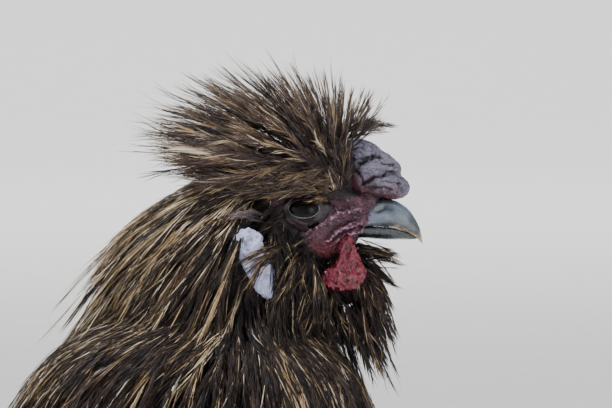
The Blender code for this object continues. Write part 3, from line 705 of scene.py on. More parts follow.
        soft = np.broadcast_to(np.asarray(mauve, float).reshape(-1, 1, 1), (count, 1, 1))
        self.points.append(points.reshape(-1, 3))
        self.faces.append(faces.reshape(-1, 3))
        self.marks.append([per_point(tone[..., None]), per_point(tall), per_point(soft)])
        self.maps.append(maps.reshape(-1, 2))
        self.total += strands * per

    def piece(self, finish, slot, replaced=()):
        points = np.concatenate(self.points)
        faces = np.concatenate(self.faces)
        corners = points[faces]
        if np.einsum("ij,ij->i", corners[:, 0], np.cross(corners[:, 1], corners[:, 2])).sum() < 0:
            faces = faces[:, ::-1]
        mesh = bpy.data.meshes.new(self.name)
        mesh.vertices.add(len(points))
        mesh.vertices.foreach_set("co", points.ravel())
        mesh.loops.add(len(faces) * 3)
        mesh.loops.foreach_set("vertex_index", np.ascontiguousarray(faces, np.int32).ravel())
        mesh.polygons.add(len(faces))
        mesh.polygons.foreach_set("loop_start", np.arange(0, len(faces) * 3, 3, dtype=np.int32))
        mesh.update(calc_edges=True)
        maps = np.concatenate(self.maps)[faces.ravel()]
        layer = mesh.uv_layers.new(name="OFBake")
        layer.data.foreach_set("uv", np.ascontiguousarray(maps, np.float32).ravel())
        for name, values in zip(("tone", "along", "mauve"), zip(*self.marks)):
            mark(mesh, name, np.concatenate(values))
        return finished(mesh, self.name, finish, replaced)


def unwrapped(core, roots):
    """The place of each root on an unwrap of the core: round it, and down it from the top."""
    units = unit(core.scaled(roots))
    around = np.arctan2(units[:, 1], units[:, 0]) / (2.0 * math.pi) + 0.5
    down = np.arccos(np.clip(units[:, 2], -1, 1)) / math.pi
    return 0.01 + 0.98 * np.stack([around, down], axis=1)


def lightness(places):
    """How much of the plumage is gold and cream at a place: most along the back of the neck."""
    x, z = places[:, 0], places[:, 2]
    back_edge = np.interp(z, (150.0, 200.0, 222.0, 242.0, 262.0, 280.0, 301.0),
                          (-60.0, -34.0, -18.0, -2.0, 12.0, 30.0, 52.0))
    inside = x - back_edge
    band = (1.0 - smoothstep(inside, 12.0, 40.0)) * smoothstep(z, 160.0, 225.0)
    front = smoothstep(x, 60.0, 85.0) * smoothstep(z, 150.0, 210.0) * (1.0 - smoothstep(z, 245.0, 262.0))
    return 0.12 + 0.64 * band + 0.06 * front


def mottled(dark=0.12, light=0.74, share_of_light=1.0):
    """Shades of tufts: their tone, the share of their pale strands, and how pale those are."""
    def shade(roots, draw):
        chance = lightness(roots) * share_of_light
        pale = np.where(draw.random(len(roots)) < chance * 0.6, 0.85, chance * 0.40)
        return np.abs(draw.normal(dark, 0.10, len(roots))), pale, light

    return shade


def plain(tone=0.14, spread=0.09, pale=0.08, light=0.62):
    def shade(roots, draw):
        return np.abs(draw.normal(tone, spread, len(roots))), pale, light

    return shade


def plumage_finish(name, middle=0.36, roughness=0.46):
    """The strand's own tone sets its colour, darker at the root, with fine mottling along it."""
    c = tints()
    finish = Finish(name, roughness, Specular_IOR_Level=0.32, Specular_Tint=(0.78, 0.86, 1.0, 1.0))
    fine = finish.patches(1.5, 3.0, 0.3, 0.7, -0.09, 0.09)
    broad = finish.patches(9.0, 2.0, 0.3, 0.7, -0.05, 0.05)
    tone = finish.maths("ADD", finish.attribute("tone"), finish.maths("ADD", fine, broad))
    base = finish.ramp(tone, (0.0, c.dark), (middle, c.brown), (0.68, c.gold), (1.0, c.cream))
    base = finish.mix(finish.attribute("mauve"), base, c.mauve)
    shade = finish.spread(finish.attribute("along"), 0.0, 0.6, 0.16, 1.0)
    base = finish.shaded(base, shade)
    gloss = finish.patches(3.0, 2.0, 0.2, 0.8, roughness - 0.12, roughness + 0.16)
    return finish.done(base, gloss)


# The lies of the coat.

def fan(centre, spread_y=0.4, most_ahead=None, lowest=None):
    """The lie that leads away from a centre, as the crest's from behind the comb."""
    def lie(points, out):
        away = (points - np.array(centre)) * (1.0, spread_y, 1.0)
        if most_ahead is not None:
            away[:, 0] = np.minimum(away[:, 0], most_ahead * np.abs(away[:, 2]))
        if lowest is not None:
            away[:, 2] = np.maximum(away[:, 2], lowest * np.abs(away[:, 0]))
        return unit(away)

    return lie


crest_lie = fan((91.0, 0.0, 295.0), 0.6, None, -0.2)
cheek_lie = fan((89.0, 0.0, 286.0), 0.35)
neck_lie = fan((73.0, 0.0, 301.0), 0.3, 0.06)
beard_lie = fan((88.0, 0.0, 271.0), 0.4, 0.42)
throat_lie = fan((88.0, 0.0, 330.0), 0.15, 0.03)


def torso_lie(points, out):
    x = out[:, :1]
    return unit(np.concatenate([x * 0.0 - 1.0, x * 0.0, -0.5 + 1.4 * np.minimum(x, 0.0)], axis=1))


def tail_lie(points, out):
    z = out[:, 2:]
    rise = np.where(z > -0.3, 0.75, 0.2)
    return unit(np.concatenate([z * 0.0 - 0.8, points[:, 1:2] / 50.0, rise], axis=1))


def thigh_lie(points, out):
    return np.broadcast_to(unit(np.array((-0.3, 0.0, -1.0))), points.shape)


# Pieces: the stage first, then the bird from the skin out.

class RoosterOperator(bpy.types.Operator):
    bl_options = {"REGISTER", "UNDO"}

    def execute(self, context):
        self.build()
        return {"FINISHED"}


def soft_light(name, place, target, size, power, shade=(1.0, 1.0, 1.0)):
    lamp = bpy.data.lights.new(name, "AREA")
    lamp.shape, lamp.size, lamp.energy, lamp.color = "DISK", size, power, shade
    made = bpy.data.objects.new(name, lamp)
    made.location = place
    made.rotation_euler = (Vector(target) - Vector(place)).to_track_quat("-Z", "Y").to_euler()
    bpy.context.scene.collection.objects.link(made)


class ROOSTER_OT_stage(RoosterOperator):
    """Makes the pale floor, the soft studio light and the camera"""

    bl_idname = "rooster.stage"
    bl_label = "Stage"

    def build(self):
        bm = bmesh.new()
        flat, bend, top = 7.0, 3.0, 9.0  # the floor's flat reach, the bend of its wall and the wall's top
        profile = [(0.0, 0.0), (3.0, 0.0), (flat, 0.0)]
        profile += [(flat + bend * math.sin(a), bend - bend * math.cos(a))
                    for a in np.linspace(0.0, math.pi / 2, 9)[1:]]
        profile += [(flat + bend, top)]
        verts = [bm.verts.new((x, 0.0, z)) for x, z in profile]
        edges = [bm.edges.new(pair) for pair in zip(verts, verts[1:])]
        bmesh.ops.spin(bm, geom=verts + edges, cent=(0, 0, 0), axis=(0, 0, 1), angle=2 * math.pi,
                       steps=48, use_merge=True)
        bmesh.ops.remove_doubles(bm, verts=bm.verts, dist=1e-5)
        bmesh.ops.recalc_face_normals(bm, faces=bm.faces)
        bmesh.ops.reverse_faces(bm, faces=bm.faces)
        mesh = bpy.data.meshes.new("floor")
        bm.to_mesh(mesh)
        bm.free()
        mesh.shade_smooth()
        floor = bpy.data.objects.new("floor", mesh)
        bpy.context.scene.collection.objects.link(floor)
        finish = Finish("pale floor", 0.6)
        grain = finish.patches(40.0, 3.0, 0.3, 0.7, 0.97, 1.0)
        mesh.materials.append(finish.done(finish.shaded(tints().floor, grain)))

        world = bpy.data.worlds.new("studio")
        bpy.context.scene.world = world
        world.use_nodes = True
        back = world.node_tree.nodes["Background"]
        back.inputs["Color"].default_value = (0.93, 0.96, 1.0, 1.0)
        back.inputs["Strength"].default_value = 0.5
        head = Vector((0.06, 0.0, 0.25))
        key, fill = sizes().key_power, sizes().fill_power
        soft_light("key", head + Vector((-0.75, -0.6, 1.7)), head, 0.5, key, (1.0, 0.98, 0.94))
        soft_light("fill", head + Vector((1.3, -1.4, 0.4)), head, 1.2, fill, (0.92, 0.96, 1.0))
        soft_light("rim", head + Vector((-0.6, 1.1, 1.2)), head, 0.7, fill * 2.4)
        for turn in np.radians((90, 210, 330)):
            way = Vector((math.cos(turn), math.sin(turn), 0.0))
            soft_light("backdrop", way * 5.0 + Vector((0, 0, 4.0)), way * 8.5, 2.5, sizes().backdrop_power)

        far = sizes().view_distance
        camera = bpy.data.cameras.new("camera")
        camera.sensor_width = 36.0
        camera.lens = 36.0 * far / (VIEW_WIDTH * MM)
        camera.clip_start, camera.clip_end = 0.05, 100.0
        made = bpy.data.objects.new("camera", camera)
        target = Vector(((VIEW_X + OFFSET_X) * MM, 0.0, VIEW_Z * MM))
        down = sizes().view_height
        made.location = target + Vector((0.0, -math.cos(down), math.sin(down))) * far
        made.rotation_euler = (math.pi / 2 - down, 0.0, 0.0)
        bpy.context.scene.collection.objects.link(made)
        bpy.context.scene.camera = made


FACE = ((80.3, 276.5), (86.6, 281.6), (92.0, 284.2), (104.0, 286.0), (112.0, 280.0), (106.5, 270.0),
        (99.5, 266.5), (94.0, 264.5), (89.0, 262.5), (82.0, 268.5))
FOLDS = (
    (((107.9, 279.1), (102.0, 277.5), (96.7, 275.6), (92.4, 273.0), (89.7, 270.0)), 0.75, 0.9),
    (((105.8, 276.2), (98.8, 274.8), (94.0, 273.0), (91.3, 270.3)), 0.55, 0.6),
    (((103.0, 273.2), (96.1, 271.9), (92.9, 269.6)), 0.6, 0.8),
    (((101.5, 280.9), (93.5, 279.4), (87.0, 275.6), (82.7, 274.0)), 0.8, 0.8),
    (((104.2, 277.9), (97.8, 276.7), (92.4, 274.5), (88.6, 270.8)), 0.5, -0.9),
    (((101.5, 274.3), (95.6, 272.9), (91.9, 270.3), (90.3, 268.7)), 0.55, -1.3),
    (((95.0, 284.0), (88.0, 279.8), (82.5, 276.9)), 0.5, -0.5),
)


class ROOSTER_OT_skin(RoosterOperator):
    """Blends one skin over the whole body, with folds and fine wrinkles on the face"""

    bl_idname = "rooster.skin"
    bl_label = "Skin"

    def build(self):
        bm = bmesh.new()
        for egg in (Egg((77, 0, 277), 25, 22, 15.5, 19, 17, -8), Egg((96, 0, 277.5), 11, 14, 9.4, 7, 7),
                    Egg((102.5, 0, 283.5), 6, 12, 6.2, 5, 5), Egg((91.5, 0, 291), 10.5, 12, 9.5, 12, 9),
                    CREST.grown(-9.0), BEARD.grown(-4.5), UPPER_NECK.grown(-5.5), LOWER_NECK.grown(-8.0),
                    TORSO.grown(-9.0), TAIL.grown(-8.0)):
            add_egg(bm, egg, 48, 32)
        for side in (-1, 1):
            add_egg(bm, wing(side).grown(-2.5))
            add_egg(bm, thigh(side).grown(-5.0))
            add_egg(bm, muff(side).grown(-4.0))
            brow = [(87, side * 14.0, 287.5), (92, side * 12.6, 286.6), (98, side * 9.8, 284.2),
                    (103, side * 7.0, 282.6)]
            add_limb(bm, brow, (1.6, 2.2, 2.2, 1.4), 10)
        mesh = blended(bm, sizes().skin_voxel / MM, 3)
        places = coordinates(mesh)
        coarse = (places[:, 0] < 66.0) | (places[:, 2] < 250.0)
        mesh = with_modifiers(mesh, ("DECIMATE", {"ratio": 0.28, "vertex_group": "held",
                                                  "use_collapse_triangulate": True}), group=coarse)
        near = inside_outline(coordinates(mesh), FACE) > -1.5
        bm = bmesh.new()
        bm.from_mesh(mesh)
        bm.verts.ensure_lookup_table()
        edges = [edge for edge in bm.edges if near[edge.verts[0].index] and near[edge.verts[1].index]]
        bmesh.ops.subdivide_edges(bm, edges=edges, cuts=2, use_grid_fill=True)
        mesh = mesh_of(bm, "skin")
        places, ways = coordinates(mesh), normals(mesh)
        behind_eye = Egg((70.8, 0, 284.4), 3.6, 3.6, 40, 3.2, 3.2).level(places)[:, 0]
        face = inside_outline(places, FACE)
        bare = np.maximum(smoothstep(face, -0.8, 1.2), 1.0 - smoothstep(behind_eye, 0.8, 1.2))
        at = np.nonzero(bare > 0.0)[0]
        ridge, push = np.zeros(len(places)), np.zeros(len(places))
        shaken = places[at] + 0.5 * np.stack([roughened(places[at], 2.5, 2), places[at, 1] * 0,
                                              roughened(places[at] + 31, 2.5, 2)], axis=1)
        pebbles = roughened(places[at], 1.15, 2, "ridged", (0.8, 1.0, 1.15))
        soft = roughened(places[at], 4.0, 2)
        lift, fold_highlight = np.zeros(len(at)), np.zeros(len(at))
        for line, width, height in FOLDS:
            close = near_line(shaken, line, width)
            lift += close * height
            fold_highlight += close * (0.75 if height > 0 else -1.2)
        push[at] = bare[at] * (lift + (soft * 0.5 + pebbles * 0.75 - 0.35) * sizes().wrinkle / MM)
        far = np.hypot(places[:, 0] - EYE_X, places[:, 2] - EYE_Z - 0.8)
        moved = places + ways * push[:, None]
        socket = (1.0 - smoothstep(far, 4.5, 9.0)) * smoothstep(np.abs(places[:, 1]), 8.0, 11.0)
        moved[:, 1] -= np.sign(moved[:, 1]) * 3.0 * socket
        moved_to(mesh, moved)
        # Raised folds and pebbles are marked for a painted highlight; sunk folds take none
        ridge[at] = np.clip(pebbles * 0.6 + fold_highlight * 0.55, 0.0, 1.0)
        mark(mesh, "bare", bare)
        mark(mesh, "light", lightness(places))
        mark(mesh, "ridge", ridge)
        mark(mesh, "red", (1.0 - smoothstep(places[:, 2], 266.0, 272.5)) * bare)

        c = tints()
        finish = Finish("mulberry skin", 0.36, Specular_IOR_Level=0.5)
        patch = finish.noise(3.2, 4.0)
        mulberry = finish.mix(finish.spread(patch, 0.35, 0.68), (0.030, 0.010, 0.020), c.face)
        mulberry = finish.mix(finish.attribute("red"), mulberry, (0.10, 0.010, 0.018))
        # Painted highlight: the pale face colour over the raised crinkles
        highlit_crests = finish.spread(finish.attribute("ridge"), 0.42, 0.85)
        fine = finish.patches(0.9, 3.0, 0.38, 0.62)
        mulberry = finish.mix(finish.maths("MULTIPLY", highlit_crests, fine), mulberry, c.face_highlight)
        under = finish.mix(finish.attribute("light"), c.skin, (0.035, 0.022, 0.018))
        base = finish.mix(finish.attribute("bare"), under, mulberry)
        finish.bump(finish.noise(1.0, 4.0, 0.65), 0.5, 0.8)
        finish.bump(finish.cells(0.75, "F1"), 0.3, 0.9)
        gloss = finish.patches(1.5, 3.0, 0.3, 0.7, 0.24, 0.5)
        gloss = finish.maths("MAXIMUM", gloss, finish.spread(finish.attribute("bare"), 0.0, 1.0, 0.9, 0.0))
        flesh = ["head", "crest", "beard", "neck", "torso", "tail"]
        finished(mesh, "skin", finish.done(base, gloss), flesh)


class ROOSTER_OT_eyes(RoosterOperator):
    """Makes the eyes, each with its iris and a domed front, and the rims of their lids"""

    bl_idname = "rooster.eyes"
    bl_label = "Eyes and lids"

    def build(self):
        finish = Finish("eye", 0.05, Specular_IOR_Level=0.16)
        x = finish.maths("SUBTRACT", finish.axis("X"), (EYE_X + OFFSET_X) * MM)
        z = finish.maths("SUBTRACT", finish.axis("Z"), EYE_Z * MM)
        far = finish.maths("SQRT", finish.maths("ADD", finish.maths("MULTIPLY", x, x),
                                                finish.maths("MULTIPLY", z, z)), 0.0)
        ray = finish.patches(0.8, 3.0, 0.3, 0.7, 0.5, 1.0)
        iris = finish.ramp(finish.spread(far, 0.0, 0.006), (0.0, (0.002, 0.002, 0.002)),
                           (0.42, (0.002, 0.002, 0.002)), (0.52, (0.012, 0.005, 0.003)),
                           (0.75, (0.007, 0.003, 0.002)), (0.86, (0.003, 0.002, 0.002)))
        made = finish.done(finish.shaded(iris, ray))
        lid = Finish("lids", 0.35, Specular_IOR_Level=0.5)
        edge = lid.mix(lid.patches(1.0, 3.0, 0.3, 0.7), (0.05, 0.06, 0.085), (0.22, 0.26, 0.36))
        skin = lid.mix(lid.patches(1.4, 3.0, 0.4, 0.65), (0.006, 0.004, 0.005), (0.030, 0.012, 0.018))
        lid.bump(lid.noise(0.7, 3.0), 0.25, 0.8)
        lid = lid.done(lid.mix(lid.attribute("rim"), skin, edge))
        for name, side in SIDES:
            bm = bmesh.new()
            add_egg(bm, eyeball(side), 48, 32)
            radius = sizes().eye_radius / MM
            for vert in bm.verts:
                dome = max(0.0, side * vert.co.y - EYE_SPREAD) / radius
                flat = math.hypot(vert.co.x - EYE_X, vert.co.z - EYE_Z) / radius
                vert.co.y += side * 0.5 * math.exp(-(flat / 0.55) ** 4) * dome
            finished(mesh_of(bm, "eye"), f"eyeball_{name}", made, [f"eye_{name}"])
            self.lids(name, side, lid)

    def lids(self, name, side, finish):
        """Folds of skin round an almond opening: up from under the eye's edge, out and back beneath."""
        bm = bmesh.new()
        bm.verts.layers.float.new("rim")
        radius = sizes().eye_radius / MM
        rings = [(out, 0.0) for out in (0.0, 0.03, 0.07, *np.linspace(0.12, 1.0, 16))]
        rings += [(out, 1.4) for out in (0.9, 0.6, 0.3, 0.02)]

        def put(ring, k):
            rim = bm.verts.layers.float["rim"]
            out, under = rings[k]
            for vert, a in ring:
                across, up = math.cos(a), math.sin(a)
                wave = 1.0 + 0.10 * math.sin(3 * a + 1.0) + 0.06 * math.sin(7 * a)
                x0, z0 = -0.4 + 5.2 * across, 1.3 + (3.0 if up > 0 else 3.1) * up
                x1, z1 = 8.6 * wave * across, 0.6 + 6.6 * wave * up
                x, z = x0 + (x1 - x0) * out, z0 + (z1 - z0) * out
                high = EYE_SPREAD + math.sqrt(max(4.0, radius ** 2 - x0 * x0 - z0 * z0)) + 0.35
                low = 15.5 * math.sqrt(max(0.05, 1 - ((x1 + 5) / 30) ** 2 - ((z1 + 3) / 18) ** 2)) - 0.9
                fold = 0.20 * math.cos(out * 2 * math.pi * (2.4 + 0.5 * math.sin(2 * a + 0.6))) * (1 - out)
                y = high + (low - high) * out + 0.5 * math.sin(math.pi * out) + fold - under
                vert.co = (EYE_X + x, side * y, EYE_Z + z)
                # The rim's own blue grey runs full along the lower lid, with a painted highlight on it, and
                # at a quarter along the upper lid, as painted shade
                rim_lighting = 0.25 if up > 0.3 else 1.0
                vert[rim] = max(0.0, 1.0 - out / 0.10) * rim_lighting * (under < 0.5)

        first, last = swept(bm, 56, len(rings), put, capped=False)
        bmesh.ops.bridge_loops(bm, edges=first + last)
        finished(mesh_of(bm, "lids"), f"lids_{name}", finish)


class ROOSTER_OT_comb(RoosterOperator):
    """Makes the walnut comb, with its lobes, creases and pits"""

    bl_idname = "rooster.comb"
    bl_label = "Comb"

    def build(self):
        bm = bmesh.new()
        for egg in comb_eggs():
            add_egg(bm, egg, 32, 20)
        mesh = blended(bm, 0.42, 3)
        places, ways = coordinates(mesh), normals(mesh)
        creases = (
            (((100.4, 296.6), (101.3, 297.3), (103.6, 298.4), (106.0, 299.2), (108.5, 299.0)), 0.55, 1.5),
            (((102.5, 288.6), (103.9, 290.2), (105.8, 291.7), (108.5, 292.1), (111.0, 293.1),
              (113.6, 293.0)), 0.6, 1.7),
            (((97.0, 294.0), (99.5, 294.6), (101.5, 293.2), (102.8, 290.0)), 0.55, 1.1),
            (((108.5, 296.9), (111.0, 296.2), (112.8, 296.5)), 0.4, 0.6),
            (((104.5, 287.6), (108.5, 288.3), (112.0, 287.4)), 0.5, 0.9),
            (((98.0, 301.4), (101.0, 302.3), (103.0, 301.9)), 0.4, 0.7),
            (((110.0, 290.3), (113.0, 290.1), (115.5, 289.6)), 0.4, 0.5),
        )
        push, crease = np.zeros(len(places)), np.zeros(len(places))
        shaken = places + 0.6 * np.stack([roughened(places, 2.2, 2), places[:, 0] * 0,
                                          roughened(places + 31, 2.2, 2)], axis=1)
        for line, width, depth in creases:
            close = near_line(shaken, line, width)
            push -= close * depth
            crease = np.maximum(crease, close)
        knobs = roughened(places, 2.4, 3, "ridged", (0.8, 1.0, 1.2))
        push += knobs * 0.34 + roughened(places, 1.0, 2) * 0.16 - 0.25
        moved_to(mesh, places + ways * push[:, None])
        # Creases and the hollows between knobs are marked to be painted near black: painted shade
        mark(mesh, "crease", np.clip(crease * 1.1 + (0.25 - knobs) * 0.5, 0.0, 1.0))
        c = tints()
        finish = Finish("comb", 0.5, Specular_IOR_Level=0.5, Subsurface_Weight=0.05, Subsurface_Scale=0.002)
        # The comb's top and front are painted grey lavender and its foot mulberry: the grey is painted light
        # from above
        height = finish.maths("ADD", finish.axis("Z"), finish.maths("MULTIPLY", finish.axis("X"), 0.5))
        speck = finish.noise(1.1, 3.0, 0.7, (0.7, 1.0, 1.3))
        sheen = finish.mix(finish.patches(3.0, 3.0, 0.3, 0.7), (0.13, 0.11, 0.16), c.comb)
        sheen = finish.mix(finish.spread(speck, 0.52, 0.66), sheen, (0.030, 0.020, 0.032))
        low = finish.mix(finish.patches(2.0, 3.0, 0.4, 0.6), c.comb_low, (0.035, 0.015, 0.026))
        low = finish.mix(finish.spread(finish.noise(1.4, 2.0, 0.5, (1.0, 1.0, 2.5)), 0.62, 0.72), low,
                         (0.24, 0.022, 0.032))
        where = finish.maths("ADD", height, finish.patches(4.0, 3.0, 0.3, 0.7, -0.003, 0.003))
        base = finish.mix(finish.spread(where, 0.3400, 0.3465), low, sheen)
        # Painted shade: near black in the creases and hollows
        base = finish.mix(finish.attribute("crease"), base, (0.008, 0.005, 0.008))
        finish.bump(finish.noise(0.9, 4.0, 0.6), 0.4, 0.9)
        finish.bump(finish.cells(0.8, "F1"), 0.3, 0.8)
        gloss = finish.spread(speck, 0.3, 0.7, 0.36, 0.62)
        finished(mesh, "comb_walnut", finish.done(base, gloss), ["comb"])


# The beak's ridge and edge as the side shows them, (x, z) each, and its half width, from base to tip.
UPPER_BEAK = ((101.0, 282.4, 101.0, 274.6, 6.6), (107.5, 284.0, 107.5, 274.9, 6.1),
              (113.5, 283.3, 112.5, 274.3, 5.0), (117.6, 280.8, 116.3, 273.1, 3.7),
              (120.6, 277.0, 119.2, 271.6, 2.5), (122.4, 272.8, 121.4, 270.0, 1.3),
              (123.2, 268.4, 122.9, 268.3, 0.3))
LOWER_BEAK = ((101.0, 270.3, 101.0, 274.2, 6.0), (107.0, 269.9, 107.0, 274.4, 5.4),
              (112.2, 269.6, 112.2, 273.9, 4.3), (116.5, 269.6, 116.5, 272.7, 3.0),
              (119.6, 269.7, 119.6, 271.3, 1.5), (121.0, 269.8, 121.0, 270.3, 0.4))
NOSTRIL = ((107.4, 280.0), (109.8, 280.9), (112.2, 280.3))
NOSTRIL_FLAP = ((106.0, 282.0), (109.5, 283.0), (112.8, 282.0))
# The line of the painted highlight along the upper beak's lit top
BEAK_HIGHLIGHT = ((104, 277.5), (110.5, 279.2), (114.5, 281.0), (117.5, 279.0))


class ROOSTER_OT_beak(RoosterOperator):
    """Makes the hooked beak, its nostrils and the horn of its edges"""

    bl_idname = "rooster.beak"
    bl_label = "Beak"

    def build(self):
        c = tints()
        finish = Finish("beak horn", 0.28, Specular_IOR_Level=0.6, Coat_Weight=0.35, Coat_Roughness=0.15)
        streak = finish.noise(1.2, 4.0, 0.6, (0.35, 1.0, 1.6))
        blue = finish.mix(finish.spread(streak, 0.3, 0.7), (0.022, 0.028, 0.038), c.beak)
        # Painted highlight: the paler blue grey near the beak's ridge
        blue = finish.mix(finish.attribute("light"), blue, c.beak_highlight)
        horn = finish.mix(finish.spread(finish.noise(0.9, 3.0, 0.6, (0.5, 1.0, 0.5)), 0.35, 0.65), c.horn,
                          (0.13, 0.09, 0.055))
        blur = finish.spread(streak, 0.3, 0.7, -0.12, 0.12)
        ivory = finish.spread(finish.maths("ADD", finish.attribute("ivory"), blur), 0.35, 0.65)
        base = finish.mix(ivory, blue, horn)
        base = finish.mix(finish.attribute("dark"), base, (0.006, 0.007, 0.009))
        finish.bump(finish.noise(1.0, 3.0, 0.6, (0.4, 1.0, 1.2)), 0.12, 0.7)
        gloss = finish.patches(1.6, 3.0, 0.3, 0.7, 0.18, 0.36)
        made = finish.done(base, gloss)
        for name, upper in (("upper", True), ("lower", False)):
            bm = bmesh.new()
            sections = curve(UPPER_BEAK if upper else LOWER_BEAK, 40)

            def put(ring, k):
                ridge_x, ridge_z, edge_x, edge_z, wide = sections[k]
                ridge, edge = Vector((ridge_x, 0, ridge_z)), Vector((edge_x, 0, edge_z))
                for vert, a in ring:
                    up = math.sin(a)
                    tall = abs(up) ** 0.85 if up >= -1e-6 else 0.1 * abs(up)
                    aside = Vector((0, max(0.1, wide) * math.cos(a), 0))
                    vert.co = edge + (ridge - edge) * tall + aside

            bmesh.ops.contextual_create(bm, geom=swept(bm, 36, len(sections), put)[1])
            mesh = mesh_of(bm, f"beak_{name}")
            places, ways = coordinates(mesh), normals(mesh)
            aside = np.abs(places[:, 1])
            nostril = near_line(places, NOSTRIL, 0.8) * (aside > 2.0) * upper
            flap = near_line(places, NOSTRIL_FLAP, 1.0) * (aside > 1.5) * upper
            push = flap * 0.5 - nostril * 1.5 + roughened(places, 3.0, 2) * 0.12
            moved_to(mesh, places + ways * push[:, None])
            x, z = places[:, 0], places[:, 2]
            if upper:
                tip = smoothstep(x - (z - 270.0) * 0.25, 120.0, 122.8)
                edge_z = np.interp(x, (103, 108, 113, 118, 122), (275.0, 274.9, 274.2, 272.6, 270.0))
                rim = smoothstep(x, 108.0, 116.0) * (1.0 - smoothstep(z - edge_z, 0.2, 1.2))
                ivory = np.maximum(tip, rim)
                # Painted highlight along the upper beak's top
                light = near_line(places, BEAK_HIGHLIGHT, 1.9) * 0.8
            else:
                # The lower bill's bottom edge takes half the ivory horn: its horn edge, with a painted
                # highlight along it
                ivory = 0.5 * (1.0 - smoothstep(z, 269.7, 270.5)) * smoothstep(x, 104.0, 110.0)
                light = ivory * 0.0
            mark(mesh, "light", light)
            mark(mesh, "ivory", ivory)
            mark(mesh, "dark", np.clip(nostril + (0.0 if upper else 0.6 - ivory), 0, 1))
            finished(mesh, f"bill_{name}", made, [f"beak_{name}"])


class ROOSTER_OT_wattles(RoosterOperator):
    """Makes the crinkled wattles and the ear lobes"""

    bl_idname = "rooster.wattles"
    bl_label = "Wattles and ear lobes"

    def build(self):
        c = tints()
        red = Finish("wattle", 0.28, Specular_IOR_Level=0.6)
        # Painted highlight: the pale red over the wattles' ridges
        highlit_crests = red.spread(red.attribute("ridge"), 0.35, 0.95)
        tone = red.mix(red.patches(1.8, 3.0, 0.35, 0.65), (0.055, 0.002, 0.008), c.wattle)
        tone = red.mix(red.maths("MULTIPLY", highlit_crests, 0.55), tone, c.wattle_highlight)
        red.bump(red.noise(0.8, 3.0, 0.6), 0.4, 0.9)
        red.bump(red.cells(0.7, "F1"), 0.2, 0.6)
        red = red.done(tone, red.patches(1.2, 2.0, 0.3, 0.7, 0.14, 0.34))
        white = Finish("ear lobe", 0.5, Specular_IOR_Level=0.45, Subsurface_Weight=0.08,
                       Subsurface_Scale=0.002)
        pale = white.mix(white.patches(2.5, 3.0, 0.4, 0.7), (0.36, 0.38, 0.58), c.lobe)
        pale = white.mix(white.spread(white.noise(1.3, 3.0, 0.6), 0.60, 0.72), pale, (0.10, 0.085, 0.13))
        white.bump(white.noise(1.0, 4.0, 0.65), 0.45, 0.9)
        white = white.done(pale, white.patches(1.2, 2.0, 0.3, 0.7, 0.35, 0.6))
        drop = ((96.4, 272.0), (98.4, 270.4), (99.8, 266.5), (101.6, 262.3), (103.2, 259.0), (102.6, 255.8),
                (99.8, 253.6), (96.0, 252.7), (91.8, 253.0), (88.0, 254.6), (87.0, 256.8), (89.0, 259.2),
                (92.2, 261.6), (94.2, 264.4), (94.0, 267.0), (94.2, 270.0))
        lobe = ((58.6, 273.8), (62.4, 275.0), (67.2, 272.0), (67.6, 267.0), (70.0, 262.5), (72.4, 257.0),
                (72.0, 252.0), (69.4, 249.8), (65.4, 252.6), (62.2, 258.4), (59.6, 263.4), (57.6, 268.0))
        for name, side in SIDES:
            for label, outline, thick, middle, made in (("wattle", drop, 2.6, 11.6, red),
                                                        ("earlobe", lobe, 3.6, 20.4, white)):
                bm = bmesh.new()
                verts = [bm.verts.new((x, side * middle - thick / 2, z)) for x, z in outline]
                face = bm.faces.new(verts)
                raised = bmesh.ops.extrude_face_region(bm, geom=[face])["geom"]
                bmesh.ops.translate(bm, vec=(0, thick, 0),
                                    verts=[item for item in raised if isinstance(item, bmesh.types.BMVert)])
                if not bm.faces or face not in bm.faces:
                    bm.faces.new(verts)
                if label == "wattle":
                    swollen = Egg((95.8, side * (middle + 0.5), 257.2), 5.6, 6.2, 2.6, 3.6, 3.3, -6)
                    add_egg(bm, swollen, 24, 16)
                mesh = blended(bm, 0.42, 7)
                places, ways = coordinates(mesh), normals(mesh)
                if label == "wattle":
                    lines = roughened(places, 1.9, 2, "ridged", (1.4, 1.0, 0.6))
                    push = lines * 0.75 + roughened(places, 1.0, 2) * 0.25 - 0.3
                    cup = 0.9 * np.exp(-((places[:, 2] - 260.0) / 5.0) ** 2)
                    places[:, 1] += side * ((places[:, 2] - 262.0) * -0.12 + cup * 0.4)
                else:
                    lines = roughened(places, 2.6, 2, "ridged", (1.1, 1.0, 0.8))
                    push = lines * 0.65 + roughened(places, 1.2, 2) * 0.2 - 0.3
                    places[:, 1] += side * ((places[:, 2] - 262.0) * 0.03)
                moved_to(mesh, places + ways * push[:, None])
                mark(mesh, "ridge", np.clip(lines, 0.0, 1.0))
                finished(mesh, f"{label}_fold_{name}", made, [f"{label}_{name}"])


